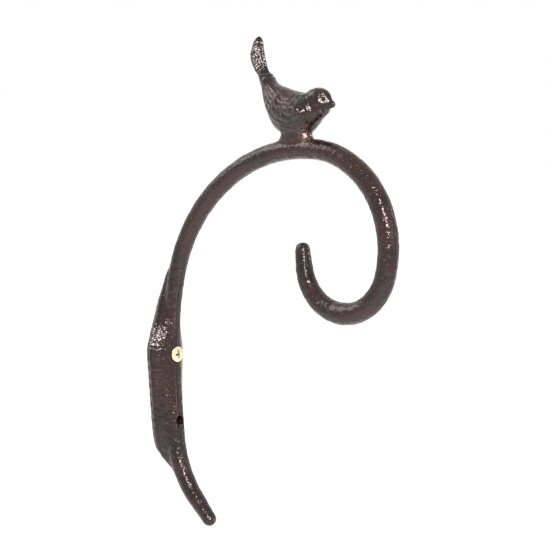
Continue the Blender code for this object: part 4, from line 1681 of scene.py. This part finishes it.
@dataclass
class Studio:
    """Camera, lamps, white surroundings and a pale floor."""

    image_size: float = 551.0
    azimuth: float = math.radians(39.5)
    elevation: float = math.radians(4.0)
    distance: float = 0.9
    target: Triple = (0.069732, 0.0, 0.056262)
    focal_pixels: float = 1975.482
    sensor: float = 36.0
    clip: Pair = (0.05, 100.0)
    floor_height: float = -0.36
    floor_size: float = 30.0
    floor_cells: int = 8
    floor_colour: Colour = (0.9, 0.9, 0.9, 1.0)
    floor_rough: float = 0.9
    floor_glow: float = 0.85
    ambient: float = 0.24
    lamp_distance: float = 1.2
    lamps: tuple[Lamp, ...] = (
        Lamp("key", (0.65, -0.66, 0.374), 0.34, 15.0),
        Lamp("side", (1.0, 0.0, 0.25), 0.6, 1.5),
        Lamp("left", (-0.63, -0.40, 0.65), 1.0, 7.5),
    )

    def build_camera(self) -> None:
        """Place the camera at the photograph's angle."""
        sin_a, cos_a = math.sin(self.azimuth), math.cos(self.azimuth)
        sin_e, cos_e = math.sin(self.elevation), math.cos(self.elevation)
        back = Vector((sin_a * cos_e, -cos_a * cos_e, sin_e))
        right = Vector((cos_a, sin_a, 0.0))
        up = Vector((-sin_a * sin_e, cos_a * sin_e, cos_e))
        data = bpy.data.cameras.new("camera")
        data.sensor_width = self.sensor
        data.lens = self.sensor * self.focal_pixels / self.image_size
        data.clip_start, data.clip_end = self.clip
        camera = link_object("camera", data)
        turned = Matrix((right, up, back)).transposed().to_4x4()
        place = Vector(self.target) + back * self.distance
        camera.matrix_world = Matrix.Translation(place) @ turned
        bpy.context.scene.camera = camera

    def build_lamps(self) -> None:
        """Hang the lamps round the object."""
        for lamp in self.lamps:
            data = bpy.data.lights.new(lamp.name, "AREA")
            data.shape = "DISK"
            data.size = lamp.size
            data.energy = lamp.power
            item = link_object(lamp.name, data)
            towards = Vector(lamp.direction).normalized()
            item.location = Vector(self.target) + towards * self.lamp_distance
            item.rotation_euler = towards.to_track_quat("Z", "Y").to_euler()

    def seen_rays(self, nodes: Nodes) -> bpy.types.NodeSocket:
        """Return 1 for the rays that see the background and 0 for those that light the object."""
        path = nodes.add("ShaderNodeLightPath")
        seen = nodes.math("MAXIMUM", path.outputs["Is Camera Ray"], path.outputs["Is Glossy Ray"])
        return nodes.math("MAXIMUM", seen, path.outputs["Is Transmission Ray"])

    def build_world(self) -> None:
        """Surround the object with white that lights it softly."""
        world = bpy.data.worlds.new("studio")
        world.use_nodes = True
        bpy.context.scene.world = world
        nodes = Nodes(world.node_tree)
        strength = nodes.add("ShaderNodeMapRange", {
            "Value": self.seen_rays(nodes), "To Min": self.ambient, "To Max": 1.0,
        })
        nodes.feed(world.node_tree.nodes["Background"], {
            "Color": WHITE, "Strength": strength.outputs["Result"],
        })

    def build_floor(self) -> None:
        """Lay a pale floor far below the bracket, which hangs on a wall that isn't shown."""
        bm = bmesh.new()
        bmesh.ops.create_grid(
            bm, x_segments=self.floor_cells, y_segments=self.floor_cells, size=self.floor_size / 2,
        )
        floor = link_mesh("studio_floor", bm)
        floor.location.z = self.floor_height
        material, nodes, shader = new_material("pale_floor")
        nodes.feed(shader, {
            "Base Color": self.floor_colour,
            "Roughness": self.floor_rough,
            "Emission Color": WHITE,
            "Emission Strength": nodes.math("MULTIPLY", self.seen_rays(nodes), self.floor_glow),
        })
        floor.data.materials.append(material)

    def build(self) -> None:
        """Set up the whole studio."""
        bpy.context.scene.view_settings.view_transform = "Standard"
        self.build_camera()
        self.build_lamps()
        self.build_world()
        self.build_floor()


def dress(item: bpy.types.Object, material: bpy.types.Material, node: str) -> None:
    """Give a piece its finish and its place in the frame.

    Args:
        item: The piece.
        material: Its finish.
        node: The CAD node that it stands for.
    """
    item.data.materials.clear()
    item.data.materials.append(material)
    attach(item, BODY)
    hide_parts(node)
    item.data.calc_loop_triangles()
    LOG.info("%s: %d triangles", item.name, len(item.data.loop_triangles))


def main() -> None:
    """Load the frame and build the dressed bracket and its studio."""
    logging.basicConfig(level=logging.INFO, format="%(name)s %(message)s")
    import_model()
    low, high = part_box(CASTING_NODE)
    bar = Bar()
    plate = WallPlate(bar)
    unevenness = CastUnevenness()
    wear_shade_and_glint = LacquerWearShadeAndGlint()
    iron = LacqueredIron(wear_shade_and_glint).build()
    arm = Arm(bar, plate, unevenness, wear_shade_and_glint).build(low, high)
    dress(arm, iron, CASTING_NODE)
    bird = Bird(bar, unevenness, TailBarbs(), wear_shade_and_glint).build(low, high)
    dress(bird, iron, CASTING_NODE)
    screw = WoodScrew(plate)
    brass = ScrewBrass(screw.recess_shade_name).build()
    dress(screw.build(), brass, SCREW_NODE)
    Studio().build()


if __name__ == "__main__":
    main()
